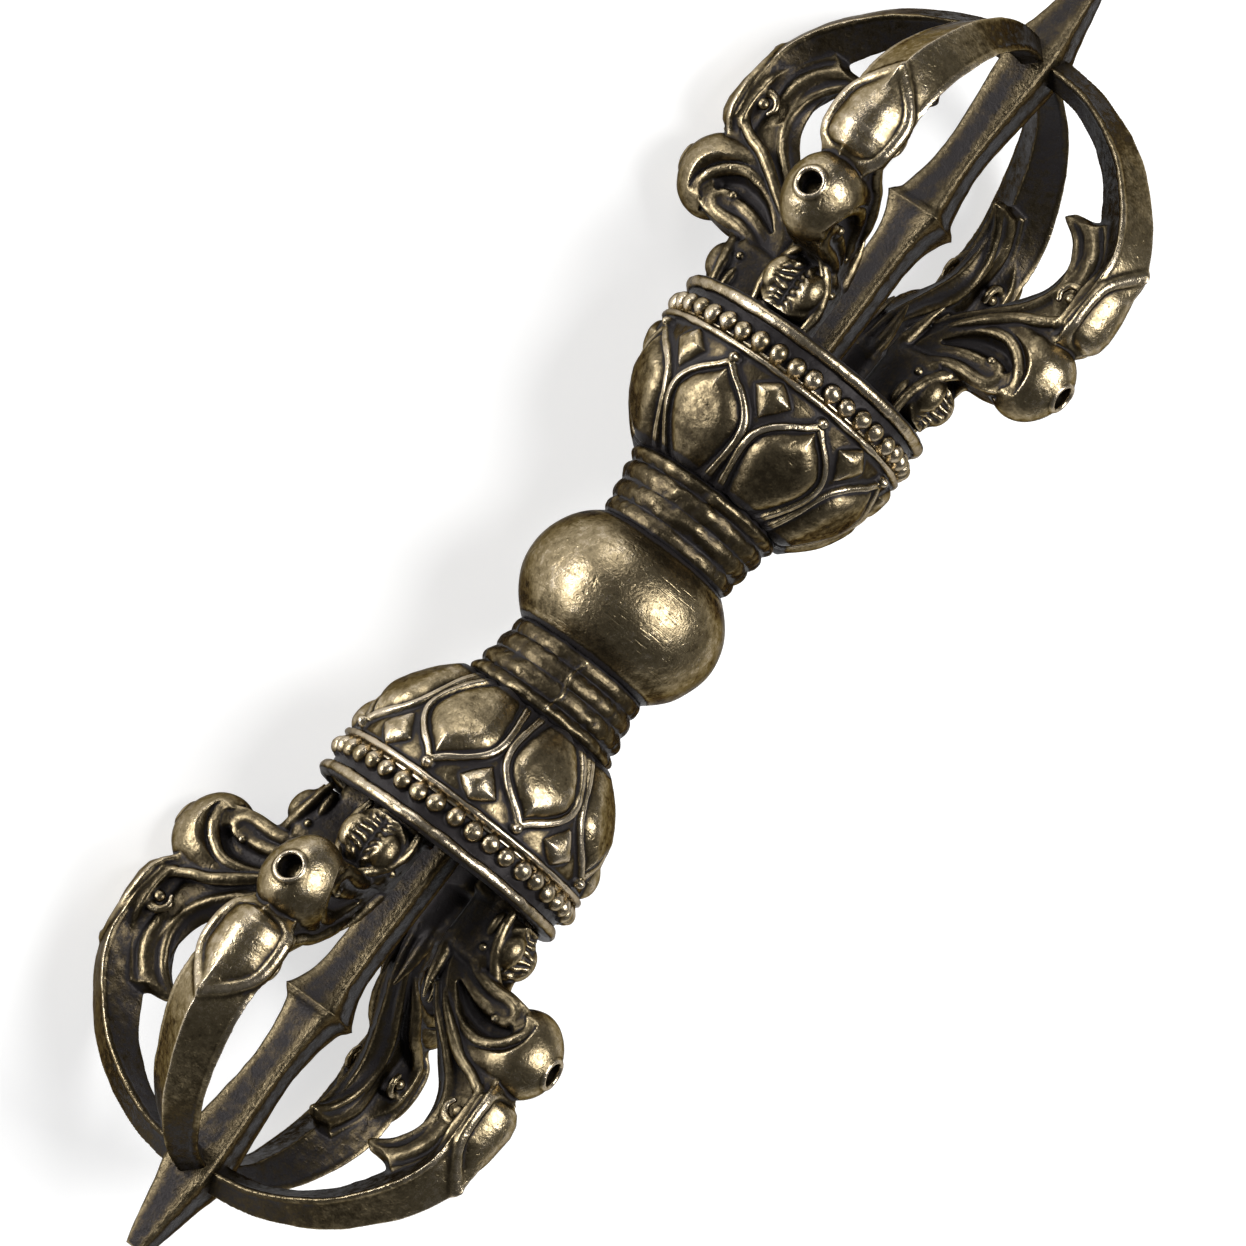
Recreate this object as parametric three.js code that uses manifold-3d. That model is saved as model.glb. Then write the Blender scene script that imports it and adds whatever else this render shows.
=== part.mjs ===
// Double-ended, five-pronged vajra in cast brass, lying on its side on two prongs of each end.
// Sizes are in millimetres. The long axis is X, +Z is up and the origin is the globe's centre.
import * as THREE from "three";
import { mergeVertices } from "three/addons/utils/BufferGeometryUtils.js";
import Module from "manifold-3d";

const wasm = await Module();
wasm.setup();
const { lerp } = THREE.MathUtils;

// Globe: an oval with a flat seat for each collar
const globeRadius = 7.25;
const globeHalfLength = 6.0;
const globeSeat = 4.4;
const globeBoreDepth = 3.0;

// Collar: half-round rings that widen from the globe to the cup
const collarLength = 5.0;
const collarRings = 4;
const collarStartRadius = 4.9;
const collarEndRadius = 5.85;
const collarGroove = 0.4;

// Lotus cup: a bowl under eight petals
const cupLength = 8.4;
const cupNeckRadius = 5.45;
const cupMouthRadius = 9.25;
const cupFloor = 3.8;
const cupPocketRadius = 7.15;
const cupLedgeRadius = 9.62;
const cupLedgeWidth = 0.7;
const cupFullness = 2.6;
const petalCount = 8;
const petalFill = 0.92;
const petalFoot = 0.4;
const petalTip = 7.15;
const petalBelly = 0.45;
const petalFootShare = 0.8;
const petalBorder = 0.5;
const petalBorderShare = 0.82;
const petalGroove = 0.12;
const petalGrooveShare = 0.56;
const petalBoss = 0.62;
const petalSink = 0.45;

// Rim: a row of beads below a rolled lip
const rimLength = 2.7;
const rimBore = 8.75;
const beadRowRadius = 9.3;
const beadCount = 40;
const beadRadius = 0.58;
const beadHeight = 0.8;
const lipRadius = 9.6;
const lipHeight = 1.15;

// Seat: the disc in the cup that holds the five prong roots
const seatThickness = 2.2;

// Centre prong: a square bar with a knot, a waist and a blunt pyramid tip, on a round tang
const tangRadius = 1.2;
const shankHalfDiagonal = 1.85;
const knotHalfDiagonal = 2.75;
const knotHeight = 12.3;
const knotLength = 3.4;
const waistHalfDiagonal = 1.8;
const waistHeight = 17.8;
const headHalfDiagonal = 2.5;
const headHeight = 26.0;
const tipLength = 6.0;
const tipHalfDiagonal = 1.15;
const tipFaceHalfDiagonal = 0.9;
const tipChamfer = 0.5;

// Outer prong, root: a tenon in the seat, then an egg-shaped shoulder over the lip
const outerProngs = 4;
const tenonDepth = 1.9;
const tenonWidth = 2.2;
const tenonReach = 5.3;
const rootInner = 4.1;
const rootHalfWidth = 1.9;
const shoulderReach = 9.75;
const shoulderHalfWidth = 2.9;
const shoulderHeight = 4.3;
const shoulderRound = 0.3;

// Outer prong, head: the ball with its blind hole, the teardrop and the hooked leaf
const ballHeight = 7.35;
const ballReach = 13.5;
const ballAxial = 3.15;
const ballAcross = 2.65;
const ballDeep = 2.85;
const holeRadius = 0.75;
const holeDepth = 1.5;
const holeRim = 1.15;
const dropStart = 10.15;
const dropLength = 7.2;
const dropHalfWidth = 2.45;
const dropHalfDeep = 1.65;
const dropReach = 14.65;
const cheekThickness = 3.6;
const leafTaper = 6.6;
const leafTipShare = 0.22;
const leafBelly = 10.95;
const leafTipHeight = 17.5;
const leafTipReach = 8.45;
const leafBackReach = 10.3;
const neckReach = 12.5;

// Outer prong, rib: a kite-shaped bar that arches in to the centre prong
const ribStart = 13.0;
const ribReach = 14.4;
const ribShoulder = 6.5;
const ribCrown = 0.5;
const ribDrop = 6.3;
const ribLean = 1.1;
const ribSetback = 0.8;
const ribStartHalfWidth = 2.5;
const ribEndHalfWidth = 1.15;
const ribNarrowing = 2.2;
const ribStartRidge = 1.65;
const ribEndRidge = 1.15;
const ribStartKeel = 2.0;
const ribEndKeel = 0.85;

// Outer prong, scrolls on both cheeks
const scrollRadius = 0.45;
const curlRadius = 0.75;
const curlHeight = 12.65;
const curlReach = 13.1;

// Clearances
const tangClearance = 0.12;
const fitGap = 0.3;

// Facets
const roundSegments = 24;
const rimSegments = 20;
const smallSegments = 8;

// Stations along the axis, from the globe's centre
const collarX = globeSeat;
const cupX = collarX + collarLength;
const seatX = cupX + cupFloor;
const seatTop = seatX + seatThickness;
const rimX = cupX + cupLength;
const rimTop = rimX + rimLength;
const headX = rimTop + headHeight;
const tipX = headX + tipLength;
const boreRadius = tangRadius + tangClearance;

// Materials: dark patina in sheltered places, worn brass where hands reach
function brass(color, roughness) {
  return new THREE.MeshStandardMaterial({ color, roughness, metalness: 1.0 });
}
const wornBrass = brass(0xa98a4e, 0.32);
const agedBrass = brass(0x7d6a3c, 0.42);
const darkBrass = brass(0x4f4634, 0.5);

// A closed mesh with only positions, its shared corners merged and its collapsed faces dropped
function weld(geometry) {
  const bare = geometry.clone();
  for (const name of Object.keys(bare.attributes)) {
    if (name !== "position") bare.deleteAttribute(name);
  }
  const welded = mergeVertices(bare, 1e-5);
  const index = welded.getIndex().array;
  const kept = [];
  for (let i = 0; i < index.length; i += 3) {
    const [a, b, c] = [index[i], index[i + 1], index[i + 2]];
    if (a !== b && b !== c && c !== a) kept.push(a, b, c);
  }
  welded.setIndex(kept);
  return volumeOf(welded) < 0 ? insideOut(welded) : welded;
}

function volumeOf(geometry) {
  const place = geometry.getAttribute("position");
  const index = geometry.getIndex().array;
  const [a, b, c] = [new THREE.Vector3(), new THREE.Vector3(), new THREE.Vector3()];
  let six = 0;
  for (let i = 0; i < index.length; i += 3) {
    a.fromBufferAttribute(place, index[i]);
    b.fromBufferAttribute(place, index[i + 1]);
    c.fromBufferAttribute(place, index[i + 2]);
    six += a.dot(b.cross(c));
  }
  return six / 6;
}

function insideOut(geometry) {
  const index = Array.from(geometry.getIndex().array);
  for (let i = 0; i < index.length; i += 3) {
    [index[i], index[i + 1]] = [index[i + 1], index[i]];
  }
  geometry.setIndex(index);
  return geometry;
}

function solid(geometry) {
  const welded = weld(geometry);
  const vertProperties = new Float32Array(welded.getAttribute("position").array);
  const triVerts = new Uint32Array(welded.getIndex().array);
  return new wasm.Manifold(new wasm.Mesh({ numProp: 3, vertProperties, triVerts }));
}

function geometryOf(body) {
  const mesh = body.getMesh();
  const geometry = new THREE.BufferGeometry();
  const places = new Float32Array(mesh.vertProperties);
  geometry.setAttribute("position", new THREE.BufferAttribute(places, 3));
  geometry.setIndex(Array.from(mesh.triVerts));
  return geometry;
}

function join(first, ...others) {
  return others.reduce((body, other) => body.add(other), first);
}

// Fills the pockets that close up between joined forms, as the metal does in a casting
function filled(body) {
  return wasm.Manifold.compose(body.decompose().filter((shell) => shell.volume() > 0));
}

// A round piece about X, from a profile of [x, radius] pairs
function turned(profile, segments = roundSegments) {
  const points = profile.map(([x, radius]) => new THREE.Vector2(radius, x));
  const geometry = new THREE.LatheGeometry(points, segments);
  geometry.rotateZ(-Math.PI / 2);
  return weld(geometry);
}

// A solid through a row of rings with the same number of points, closed by a flat end at each side
function loft(rings) {
  const around = rings[0].length;
  const places = rings.flat();
  const faces = [];
  for (let row = 0; row + 1 < rings.length; row += 1) {
    for (let i = 0; i < around; i += 1) {
      const next = (i + 1) % around;
      const [a, b] = [row * around + i, row * around + next];
      faces.push(a, b, b + around, a, b + around, a + around);
    }
  }
  const last = (rings.length - 1) * around;
  for (let i = 1; i + 1 < around; i += 1) {
    faces.push(0, i + 1, i);
    faces.push(last, last + i, last + i + 1);
  }
  const geometry = new THREE.BufferGeometry().setFromPoints(places);
  geometry.setIndex(faces);
  return weld(geometry);
}

// A round bar along a path
function bar(path, radius, steps, sides = 4) {
  const section = new THREE.Shape();
  for (let i = 0; i < sides; i += 1) {
    const angle = (2 * Math.PI * i) / sides;
    const [x, y] = [radius * Math.cos(angle), radius * Math.sin(angle)];
    if (i === 0) section.moveTo(x, y);
    else section.lineTo(x, y);
  }
  section.closePath();
  return new THREE.ExtrudeGeometry(section, { steps, extrudePath: path, curveSegments: 1 });
}

function globe() {
  const faceRadius = globeRadius * Math.sqrt(1 - (globeSeat / globeHalfLength) ** 2);
  const reach = Math.acos(globeSeat / globeHalfLength);
  const steps = 8;
  const profile = [[-globeSeat + globeBoreDepth, 0], [-globeSeat + globeBoreDepth, boreRadius]];
  profile.push([-globeSeat, boreRadius], [-globeSeat, faceRadius]);
  for (let i = 1; i < steps; i += 1) {
    const angle = Math.PI - reach - ((Math.PI - 2 * reach) * i) / steps;
    profile.push([globeHalfLength * Math.cos(angle), globeRadius * Math.sin(angle)]);
  }
  profile.push([globeSeat, faceRadius], [globeSeat, boreRadius]);
  profile.push([globeSeat - globeBoreDepth, boreRadius], [globeSeat - globeBoreDepth, 0]);
  return turned(profile);
}

function collar() {
  const pitch = collarLength / collarRings;
  const profile = [[collarX, boreRadius]];
  for (let ring = 0; ring < collarRings; ring += 1) {
    const share = (ring + 0.5) / collarRings;
    const crest = lerp(collarStartRadius, collarEndRadius, share);
    for (let i = 0; i < 3; i += 1) {
      const angle = (Math.PI * i) / 3;
      const rise = collarGroove * Math.sin(angle);
      profile.push([collarX + pitch * (ring + 0.5 - 0.5 * Math.cos(angle)), crest - collarGroove + rise]);
    }
  }
  profile.push([cupX, collarEndRadius - collarGroove], [cupX, boreRadius], [collarX, boreRadius]);
  return turned(profile, rimSegments);
}

// The bowl's outer face between its petals: steep at the neck, nearly upright at the mouth
function cupRadius(x) {
  const share = THREE.MathUtils.clamp((x - cupX) / cupLength, 0, 1);
  return lerp(cupNeckRadius, cupMouthRadius, 1 - (1 - share) ** cupFullness);
}

// Half the angle that a petal fills at a share of its length: widest at its belly, then an ogee to the tip
function petalHalfAngle(share) {
  const widest = (Math.PI / petalCount) * petalFill;
  if (share < petalBelly) {
    const rise = Math.sin((Math.PI / 2) * (share / petalBelly));
    return widest * lerp(petalFootShare, 1, rise);
  }
  const rest = (share - petalBelly) / (1 - petalBelly);
  return widest * (1 - rest) * (1 + 0.55 * rest - 0.35 * rest ** 2);
}

// A petal stands on the bowl as a border, a groove inside it and a boss in the middle
function petal(middle) {
  const across = [-1, -petalBorderShare, -petalGrooveShare, 0, petalGrooveShare, petalBorderShare, 1];
  const heights = [0, petalBorder, petalGroove, petalBoss, petalGroove, petalBorder, 0];
  const nearTip = 0.9;
  const rings = [0, 0.25, 0.5, 0.72, nearTip].map((share) => {
    const x = cupX + lerp(petalFoot, petalTip, share);
    const half = petalHalfAngle(share);
    const ring = across.map((place, i) => {
      const flat = share === nearTip ? Math.min(heights[i], petalBorder) : heights[i];
      return polar(x, cupRadius(x) + flat, middle + place * half);
    });
    const under = cupRadius(x) - petalSink;
    const foot = petalBorderShare * half;
    ring.push(polar(x, under, middle + foot), polar(x, under, middle - foot));
    return ring;
  });
  const tip = cupX + petalTip;
  rings.push(rings[0].map(() => polar(tip, cupRadius(tip) + petalBorder / 2, middle)));
  return solid(loft(rings));
}

function polar(x, radius, angle) {
  return new THREE.Vector3(x, -radius * Math.sin(angle), radius * Math.cos(angle));
}

function bead(x, radius, angle, size) {
  const geometry = new THREE.SphereGeometry(size, 5, 3);
  geometry.rotateX(Math.PI / 2);
  const place = polar(x, radius, angle);
  geometry.rotateX(angle);
  geometry.translate(place.x, place.y, place.z);
  return solid(geometry);
}

function lotusCup() {
  const profile = [[cupX, boreRadius]];
  const rows = 5;
  const ledgeX = rimX - cupLedgeWidth;
  for (let i = 0; i <= rows; i += 1) {
    const x = lerp(cupX, ledgeX, i / rows);
    profile.push([x, cupRadius(x)]);
  }
  profile.push([ledgeX + cupLedgeWidth / 2, cupLedgeRadius], [rimX, cupLedgeRadius]);
  profile.push([rimX, rimBore], [seatTop, cupPocketRadius], [seatX, cupPocketRadius]);
  profile.push([seatX, boreRadius], [cupX, boreRadius]);
  let cup = solid(turned(profile));
  const pitch = (2 * Math.PI) / petalCount;
  for (let i = 0; i < petalCount; i += 1) {
    cup = cup.add(petal(i * pitch));
  }
  return geometryOf(cup);
}

function beadedRim() {
  const lipBack = lipRadius - lipHeight / 2;
  const profile = [[rimX, rimBore], [rimX, beadRowRadius], [rimTop - lipHeight, beadRowRadius]];
  for (let i = 0; i <= 4; i += 1) {
    const angle = (Math.PI * i) / 4;
    const x = rimTop - (lipHeight / 2) * (1 + Math.cos(angle));
    profile.push([x, lipBack + (lipHeight / 2) * Math.sin(angle)]);
  }
  profile.push([rimTop, rimBore], [rimX, rimBore]);
  let rim = solid(turned(profile, rimSegments));
  for (let i = 0; i < beadCount; i += 1) {
    rim = rim.add(bead(rimX + beadHeight, beadRowRadius, (2 * Math.PI * (i + 0.5)) / beadCount, beadRadius));
  }
  return geometryOf(rim);
}

function prongSeat() {
  const seatRadius = cupPocketRadius - tangClearance;
  const disc = solid(
    turned([[seatX, boreRadius], [seatX, seatRadius], [seatTop, seatRadius], [seatTop, boreRadius],
      [seatX, boreRadius]]),
  );
  let seat = disc;
  for (let i = 0; i < outerProngs; i += 1) {
    const socket = new THREE.BoxGeometry(
      2 * seatThickness,
      tenonWidth + 2 * fitGap,
      tenonDepth + 2 * fitGap,
    );
    socket.translate(seatX + seatThickness, 0, tenonReach);
    socket.rotateX(prongAngle(i));
    seat = seat.subtract(solid(socket));
  }
  return geometryOf(seat);
}

function prongAngle(i) {
  return Math.PI / 4 + (2 * Math.PI * i) / outerProngs;
}

// The square section has its corners between the outer prongs
function squareRing(x, halfDiagonal) {
  return [0, 1, 2, 3].map((i) => polar(x, halfDiagonal, (i * Math.PI) / 2));
}

// Half the diagonal of the centre prong from its root to its head
const centreProfile = new THREE.SplineCurve([
  new THREE.Vector2(seatTop, shankHalfDiagonal),
  new THREE.Vector2(rimTop, shankHalfDiagonal),
  new THREE.Vector2(rimTop + knotHeight - knotLength, shankHalfDiagonal),
  new THREE.Vector2(rimTop + knotHeight, knotHalfDiagonal),
  new THREE.Vector2(rimTop + waistHeight, waistHalfDiagonal),
  new THREE.Vector2(headX, headHalfDiagonal),
]);

function centreProng() {
  const rings = centreProfile.getSpacedPoints(13).map((point) => squareRing(point.x, point.y));
  rings.push(squareRing(tipX - tipChamfer, tipHalfDiagonal), squareRing(tipX, tipFaceHalfDiagonal));
  const start = globeSeat - globeBoreDepth + fitGap;
  const end = seatTop + 1;
  const tang = solid(turned([[start, 0], [start, tangRadius], [end, tangRadius], [end, 0]], smallSegments));
  return geometryOf(join(solid(loft(rings)), tang));
}

// Outer prongs are drawn with +Z outwards from the axis and Y across them
function rootRing(x, inner, outer, halfWidth) {
  const cheek = outer - (outer - inner) * 0.35;
  return [
    [-0.62 * halfWidth, inner], [0.62 * halfWidth, inner], [halfWidth, cheek],
    [0.55 * halfWidth, outer], [-0.55 * halfWidth, outer], [-halfWidth, cheek],
  ].map(([y, z]) => new THREE.Vector3(x, y, z));
}

function prongRoot() {
  const overlap = 0.5;
  const tenonTop = seatTop + overlap;
  const tenon = new THREE.BoxGeometry(tenonTop - seatX, tenonWidth, tenonDepth);
  tenon.translate((tenonTop + seatX) / 2, 0, tenonReach);
  const inCup = rimBore - 3 * fitGap;
  const shoulderX = rimTop + fitGap;
  const middle = rimTop + shoulderHeight / 2;
  const top = rimTop + shoulderHeight;
  const root = loft([
    rootRing(seatTop, rootInner, tenonReach + tenonDepth / 2 + fitGap, 0.8 * rootHalfWidth),
    rootRing(rimX, rootInner, inCup, rootHalfWidth),
    rootRing(shoulderX, rootInner, inCup, rootHalfWidth),
    rootRing(shoulderX + shoulderRound, rootInner, shoulderReach - shoulderRound, 0.85 * shoulderHalfWidth),
    rootRing(middle, rootInner, shoulderReach, shoulderHalfWidth),
    rootRing(top - shoulderRound, rootInner + shoulderRound, shoulderReach, 0.8 * shoulderHalfWidth),
    rootRing(top + shoulderRound, rootInner + shoulderRound, shoulderReach - 1, 0.5 * shoulderHalfWidth),
  ]);
  return join(solid(root), solid(tenon));
}

function prongBall() {
  const ball = new THREE.SphereGeometry(1, 10, 6);
  ball.rotateX(Math.PI / 2);
  ball.scale(ballAxial, ballAcross, ballDeep);
  ball.translate(rimTop + ballHeight, 0, ballReach);
  const mouth = ballReach + ballDeep;
  const sink = holeRim - holeRadius;
  const profile = [
    [mouth - holeDepth, 0], [mouth - holeDepth, holeRadius], [mouth - sink, holeRadius],
    [mouth, holeRim], [mouth + sink, holeRim], [mouth + sink, 0],
  ];
  const hole = turned(profile, smallSegments);
  hole.rotateY(-Math.PI / 2);
  hole.translate(rimTop + ballHeight, 0, 0);
  return { ball: solid(ball), hole: solid(hole) };
}

function teardrop() {
  const rows = 5;
  const profile = [];
  for (let i = 0; i <= rows; i += 1) {
    const share = (i / rows) ** 1.6;
    const radius = i === rows ? 0 : Math.sin(Math.PI * Math.sqrt(share));
    profile.push([share * dropLength, radius]);
  }
  const drop = turned(profile, smallSegments);
  drop.scale(1, dropHalfWidth, dropHalfDeep);
  drop.translate(rimTop + dropStart, 0, dropReach);
  return solid(drop);
}

// The blade loses thickness within reach of its hooked tip
function thinTowards(geometry, tipX, tipReach) {
  const places = geometry.getAttribute("position");
  for (let i = 0; i < places.count; i += 1) {
    const away = Math.hypot(places.getX(i) - tipX, places.getZ(i) - tipReach);
    const share = THREE.MathUtils.clamp(away / leafTaper, leafTipShare, 1);
    places.setY(i, places.getY(i) * share);
  }
}

// The cheek plate: neck, hooked leaf and the web under ball, teardrop and rib
function leaf() {
  const neckX = rimTop + shoulderHeight;
  const tip = rimTop + leafTipHeight;
  const foot = rootInner + 0.6;
  const overlap = 0.5;
  const outline = new THREE.Shape();
  outline.moveTo(neckX - overlap, foot);
  const [rise, swell, crest] = [0.36, 0.51, 0.75].map((share) => lerp(neckX, tip, share));
  const risen = lerp(foot, leafBelly, 0.29);
  outline.lineTo(neckX + 1.7, foot + 0.3);
  outline.bezierCurveTo(rise, risen, swell, leafBelly, crest, leafBelly);
  outline.bezierCurveTo(tip - 1, leafBelly, tip - 0.9, leafTipReach, tip, leafTipReach);
  outline.quadraticCurveTo(tip + 0.5, leafTipReach + 0.6, tip + 0.95, leafBackReach);
  outline.lineTo(tip + 0.6, ribReach - ribStartKeel);
  outline.lineTo(rimTop + ribStart, ribReach);
  outline.lineTo(rimTop + dropStart, dropReach);
  outline.lineTo(rimTop + ballHeight, ballReach);
  outline.lineTo(neckX + 0.6, neckReach);
  outline.lineTo(neckX + 0.15, shoulderReach);
  outline.lineTo(neckX - overlap, shoulderReach - 1);
  outline.closePath();
  const plate = new THREE.ExtrudeGeometry(outline, {
    depth: cheekThickness,
    bevelEnabled: false,
    curveSegments: 3,
  });
  plate.translate(0, 0, -cheekThickness / 2);
  plate.rotateX(Math.PI / 2);
  thinTowards(plate, tip, leafTipReach);
  return solid(plate);
}

function rib() {
  const endReach = headHalfDiagonal / Math.SQRT2 + fitGap;
  const endX = headX - ribSetback;
  const spine = new THREE.CubicBezierCurve(
    new THREE.Vector2(rimTop + ribStart, ribReach),
    new THREE.Vector2(rimTop + ribStart + ribShoulder, ribReach + ribCrown),
    new THREE.Vector2(endX - ribLean, endReach + ribDrop),
    new THREE.Vector2(endX, endReach),
  );
  const steps = 8;
  const rings = [];
  for (let i = 0; i <= steps; i += 1) {
    const share = i / steps;
    const middle = spine.getPointAt(share);
    const along = i === steps ? new THREE.Vector2(0, -1) : spine.getTangentAt(share);
    const out = new THREE.Vector2(-along.y, along.x);
    const ridge = lerp(ribStartRidge, ribEndRidge, share);
    const keel = lerp(ribStartKeel, ribEndKeel, share);
    const half = lerp(ribStartHalfWidth, ribEndHalfWidth, share ** ribNarrowing);
    rings.push([
      new THREE.Vector3(middle.x + out.x * ridge, 0, middle.y + out.y * ridge),
      new THREE.Vector3(middle.x, half, middle.y),
      new THREE.Vector3(middle.x - out.x * keel, 0, middle.y - out.y * keel),
      new THREE.Vector3(middle.x, -half, middle.y),
    ]);
  }
  return solid(loft(rings));
}

// A stem that climbs the cheek from the root and curls up beside the teardrop
function cheekScroll(side) {
  const y = side * (cheekThickness / 2);
  const curl = new THREE.Vector2(rimTop + curlHeight, curlReach);
  const neckX = rimTop + shoulderHeight;
  const points = [
    new THREE.Vector3(neckX + 0.4, y, rootInner + 1),
    new THREE.Vector3(lerp(neckX, curl.x, 0.4), y, lerp(rootInner, curl.y, 0.4)),
    new THREE.Vector3(curl.x - 3.1, y, curl.y - 2.3),
    new THREE.Vector3(curl.x - 1.8, y, curl.y),
    new THREE.Vector3(curl.x - 0.3, y, curl.y + curlRadius),
  ];
  const stem = solid(bar(new THREE.CatmullRomCurve3(points), scrollRadius, 7));
  const eye = new THREE.SphereGeometry(curlRadius, 6, 3);
  eye.translate(curl.x, y, curl.y);
  return join(stem, solid(eye));
}

function outerProng() {
  const { ball, hole } = prongBall();
  const joined = join(
    prongRoot(),
    leaf(),
    ball,
    teardrop(),
    rib(),
    cheekScroll(-1),
    cheekScroll(1),
  );
  return geometryOf(filled(joined).subtract(hole));
}

// Assembly: one end is built towards +X, and the other is the same end turned half round
const vajra = new THREE.Group();

function place(parent, name, geometry, material) {
  const mesh = new THREE.Mesh(geometry, material);
  mesh.name = name;
  parent.add(mesh);
  return mesh;
}

const shapes = {
  collar: collar(),
  cup: lotusCup(),
  rim: beadedRim(),
  seat: prongSeat(),
  centre: centreProng(),
  outer: outerProng(),
};

place(vajra, "globe", globe(), wornBrass);
for (const [side, turn] of [["right", 0], ["left", Math.PI]]) {
  const end = new THREE.Group();
  end.rotation.z = turn;
  vajra.add(end);
  place(end, `${side}_collar`, shapes.collar, agedBrass);
  place(end, `${side}_lotus_cup`, shapes.cup, agedBrass);
  place(end, `${side}_beaded_rim`, shapes.rim, wornBrass);
  place(end, `${side}_prong_seat`, shapes.seat, darkBrass);
  place(end, `${side}_centre_prong`, shapes.centre, darkBrass);
  for (let i = 0; i < outerProngs; i += 1) {
    const holder = new THREE.Group();
    holder.rotation.x = prongAngle(i);
    end.add(holder);
    place(holder, `${side}_outer_prong_${i + 1}`, shapes.outer, wornBrass);
  }
}

export default vajra;
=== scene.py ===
import math

import bpy
import numpy as np
from mathutils import Matrix, Quaternion, Vector


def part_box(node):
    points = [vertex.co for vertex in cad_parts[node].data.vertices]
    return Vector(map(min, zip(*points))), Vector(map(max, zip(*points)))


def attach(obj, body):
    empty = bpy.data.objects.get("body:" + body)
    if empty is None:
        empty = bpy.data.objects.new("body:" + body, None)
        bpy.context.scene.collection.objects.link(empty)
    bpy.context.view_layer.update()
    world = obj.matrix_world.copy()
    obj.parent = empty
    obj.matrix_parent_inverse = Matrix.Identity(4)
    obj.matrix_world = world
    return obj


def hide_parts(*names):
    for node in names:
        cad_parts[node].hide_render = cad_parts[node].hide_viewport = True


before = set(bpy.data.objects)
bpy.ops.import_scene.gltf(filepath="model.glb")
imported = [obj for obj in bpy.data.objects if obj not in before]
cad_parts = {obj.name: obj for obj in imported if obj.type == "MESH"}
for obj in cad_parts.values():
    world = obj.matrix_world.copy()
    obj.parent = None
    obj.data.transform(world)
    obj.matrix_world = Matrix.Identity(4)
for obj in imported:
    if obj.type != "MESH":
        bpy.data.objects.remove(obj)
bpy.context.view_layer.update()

# Sizes are in millimetres, and a piece turns them into metres when it becomes a mesh
MM = 0.001


def corners(node):
    """Lowest and highest corner of a solid piece, in millimetres."""
    low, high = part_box(node)
    return np.array(low) / MM, np.array(high) / MM


# Stations along the axis, from the solid pieces
GLOBE_RADIUS = corners("globe")[1][2]
COLLAR_X = corners("right_collar")[0][0]
CUP_X = corners("right_lotus_cup")[0][0]
SEAT_TOP = corners("right_prong_seat")[1][0]
RIM_X = corners("right_beaded_rim")[0][0]
LIP_X = corners("right_beaded_rim")[1][0]
TIP_X = corners("right_centre_prong")[1][0]
FLOOR_Z = corners("right_outer_prong_2")[0][2]

# Globe
GLOBE_HALF_LENGTH = 6.0
GLOBE_TRUE = 0.995
GLOBE_SLACK = 0.01
GLOBE_DENT = 0.09
GLOBE_DENT_SIZE = 3.6
# The globe turns darker towards each collar: from this distance from its middle, and by this much
GLOBE_DARKENS_FROM = 2.4
GLOBE_DARKENING = 0.3

# Dirt lies this far to each side of a joint between two pieces
JOINT_DIRT = 0.24

# Collar: the radius of each ring's crest, from the globe to the cup
COLLAR_CRESTS = (5.0, 5.24, 5.48, 5.72)
COLLAR_EDGES = (0.0, 0.24, 0.5, 0.77, 1.0)
COLLAR_GROOVES = (0.3, 0.26, 0.24, 0.36, 0.4)
COLLAR_BORE = 1.32
SEAM_HEIGHT = 0.09
SEAM_WIDTH = 0.09
SEAM_WANDER = 0.03
COLLAR_DENT = 0.09
COLLAR_DENT_SIZE = 1.1

# Lotus cup
CUP_NECK = 5.4
CUP_MOUTH = 9.2
CUP_BORE = 8.75
CUP_POCKET = 7.15
CUP_CURVE = 2.6
SEAT_THICK = 2.2
PETALS = 8
PETAL_TIP_X = 16.5
PETAL_FLOOR = 0.08
PETAL_BORDER = 0.44
PETAL_BORDER_IN = 0.24
PETAL_BORDER_HALF = 0.27
BORDER_GROOVE = 0.05
BORDER_GROOVE_IN = 0.2
BORDER_GROOVE_HALF = 0.1
PETAL_BOSS = 0.72
PETAL_BOSS_FROM = 0.5
PETAL_BOSS_RISE = 1.5
PETAL_FOOT = 0.45
PETAL_FOOT_LENGTH = 1.2
TIP_BEAD_HEIGHT = 0.75
TIP_BEAD_RADIUS = 0.4
PETAL_HALF_SHARES = ((-0.2, 0.80), (0.0, 0.86), (0.15, 0.93), (0.3, 0.98), (0.45, 0.99), (0.6, 0.90),
                     (0.72, 0.71), (0.82, 0.47), (0.9, 0.24), (1.0, 0.02))
BUD_X = 15.9
BUD_TO_NECK = 1.75
BUD_TO_RIM = 1.15
BUD_HALF_WIDTH = 1.5
BUD_HEIGHT = 0.6
MOUTH_RING_X = 17.3
MOUTH_RING_HEIGHT = 0.42
MOUTH_RING_HALF = 0.24

# Beaded rim
BEADS = 40
BEAD_RADIUS = 0.66
BEAD_ROW = 9.16
BEAD_FLOOR = 9.02
BEAD_X = RIM_X + 0.56
BEAD_SHIFT = 0.08
BEAD_UNEVEN = 0.05
LIP_RADIUS = 9.58
LIP_THICK = 0.95
LIP_WEAR = 0.16
CHANNEL_DIRT = 0.6

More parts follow.
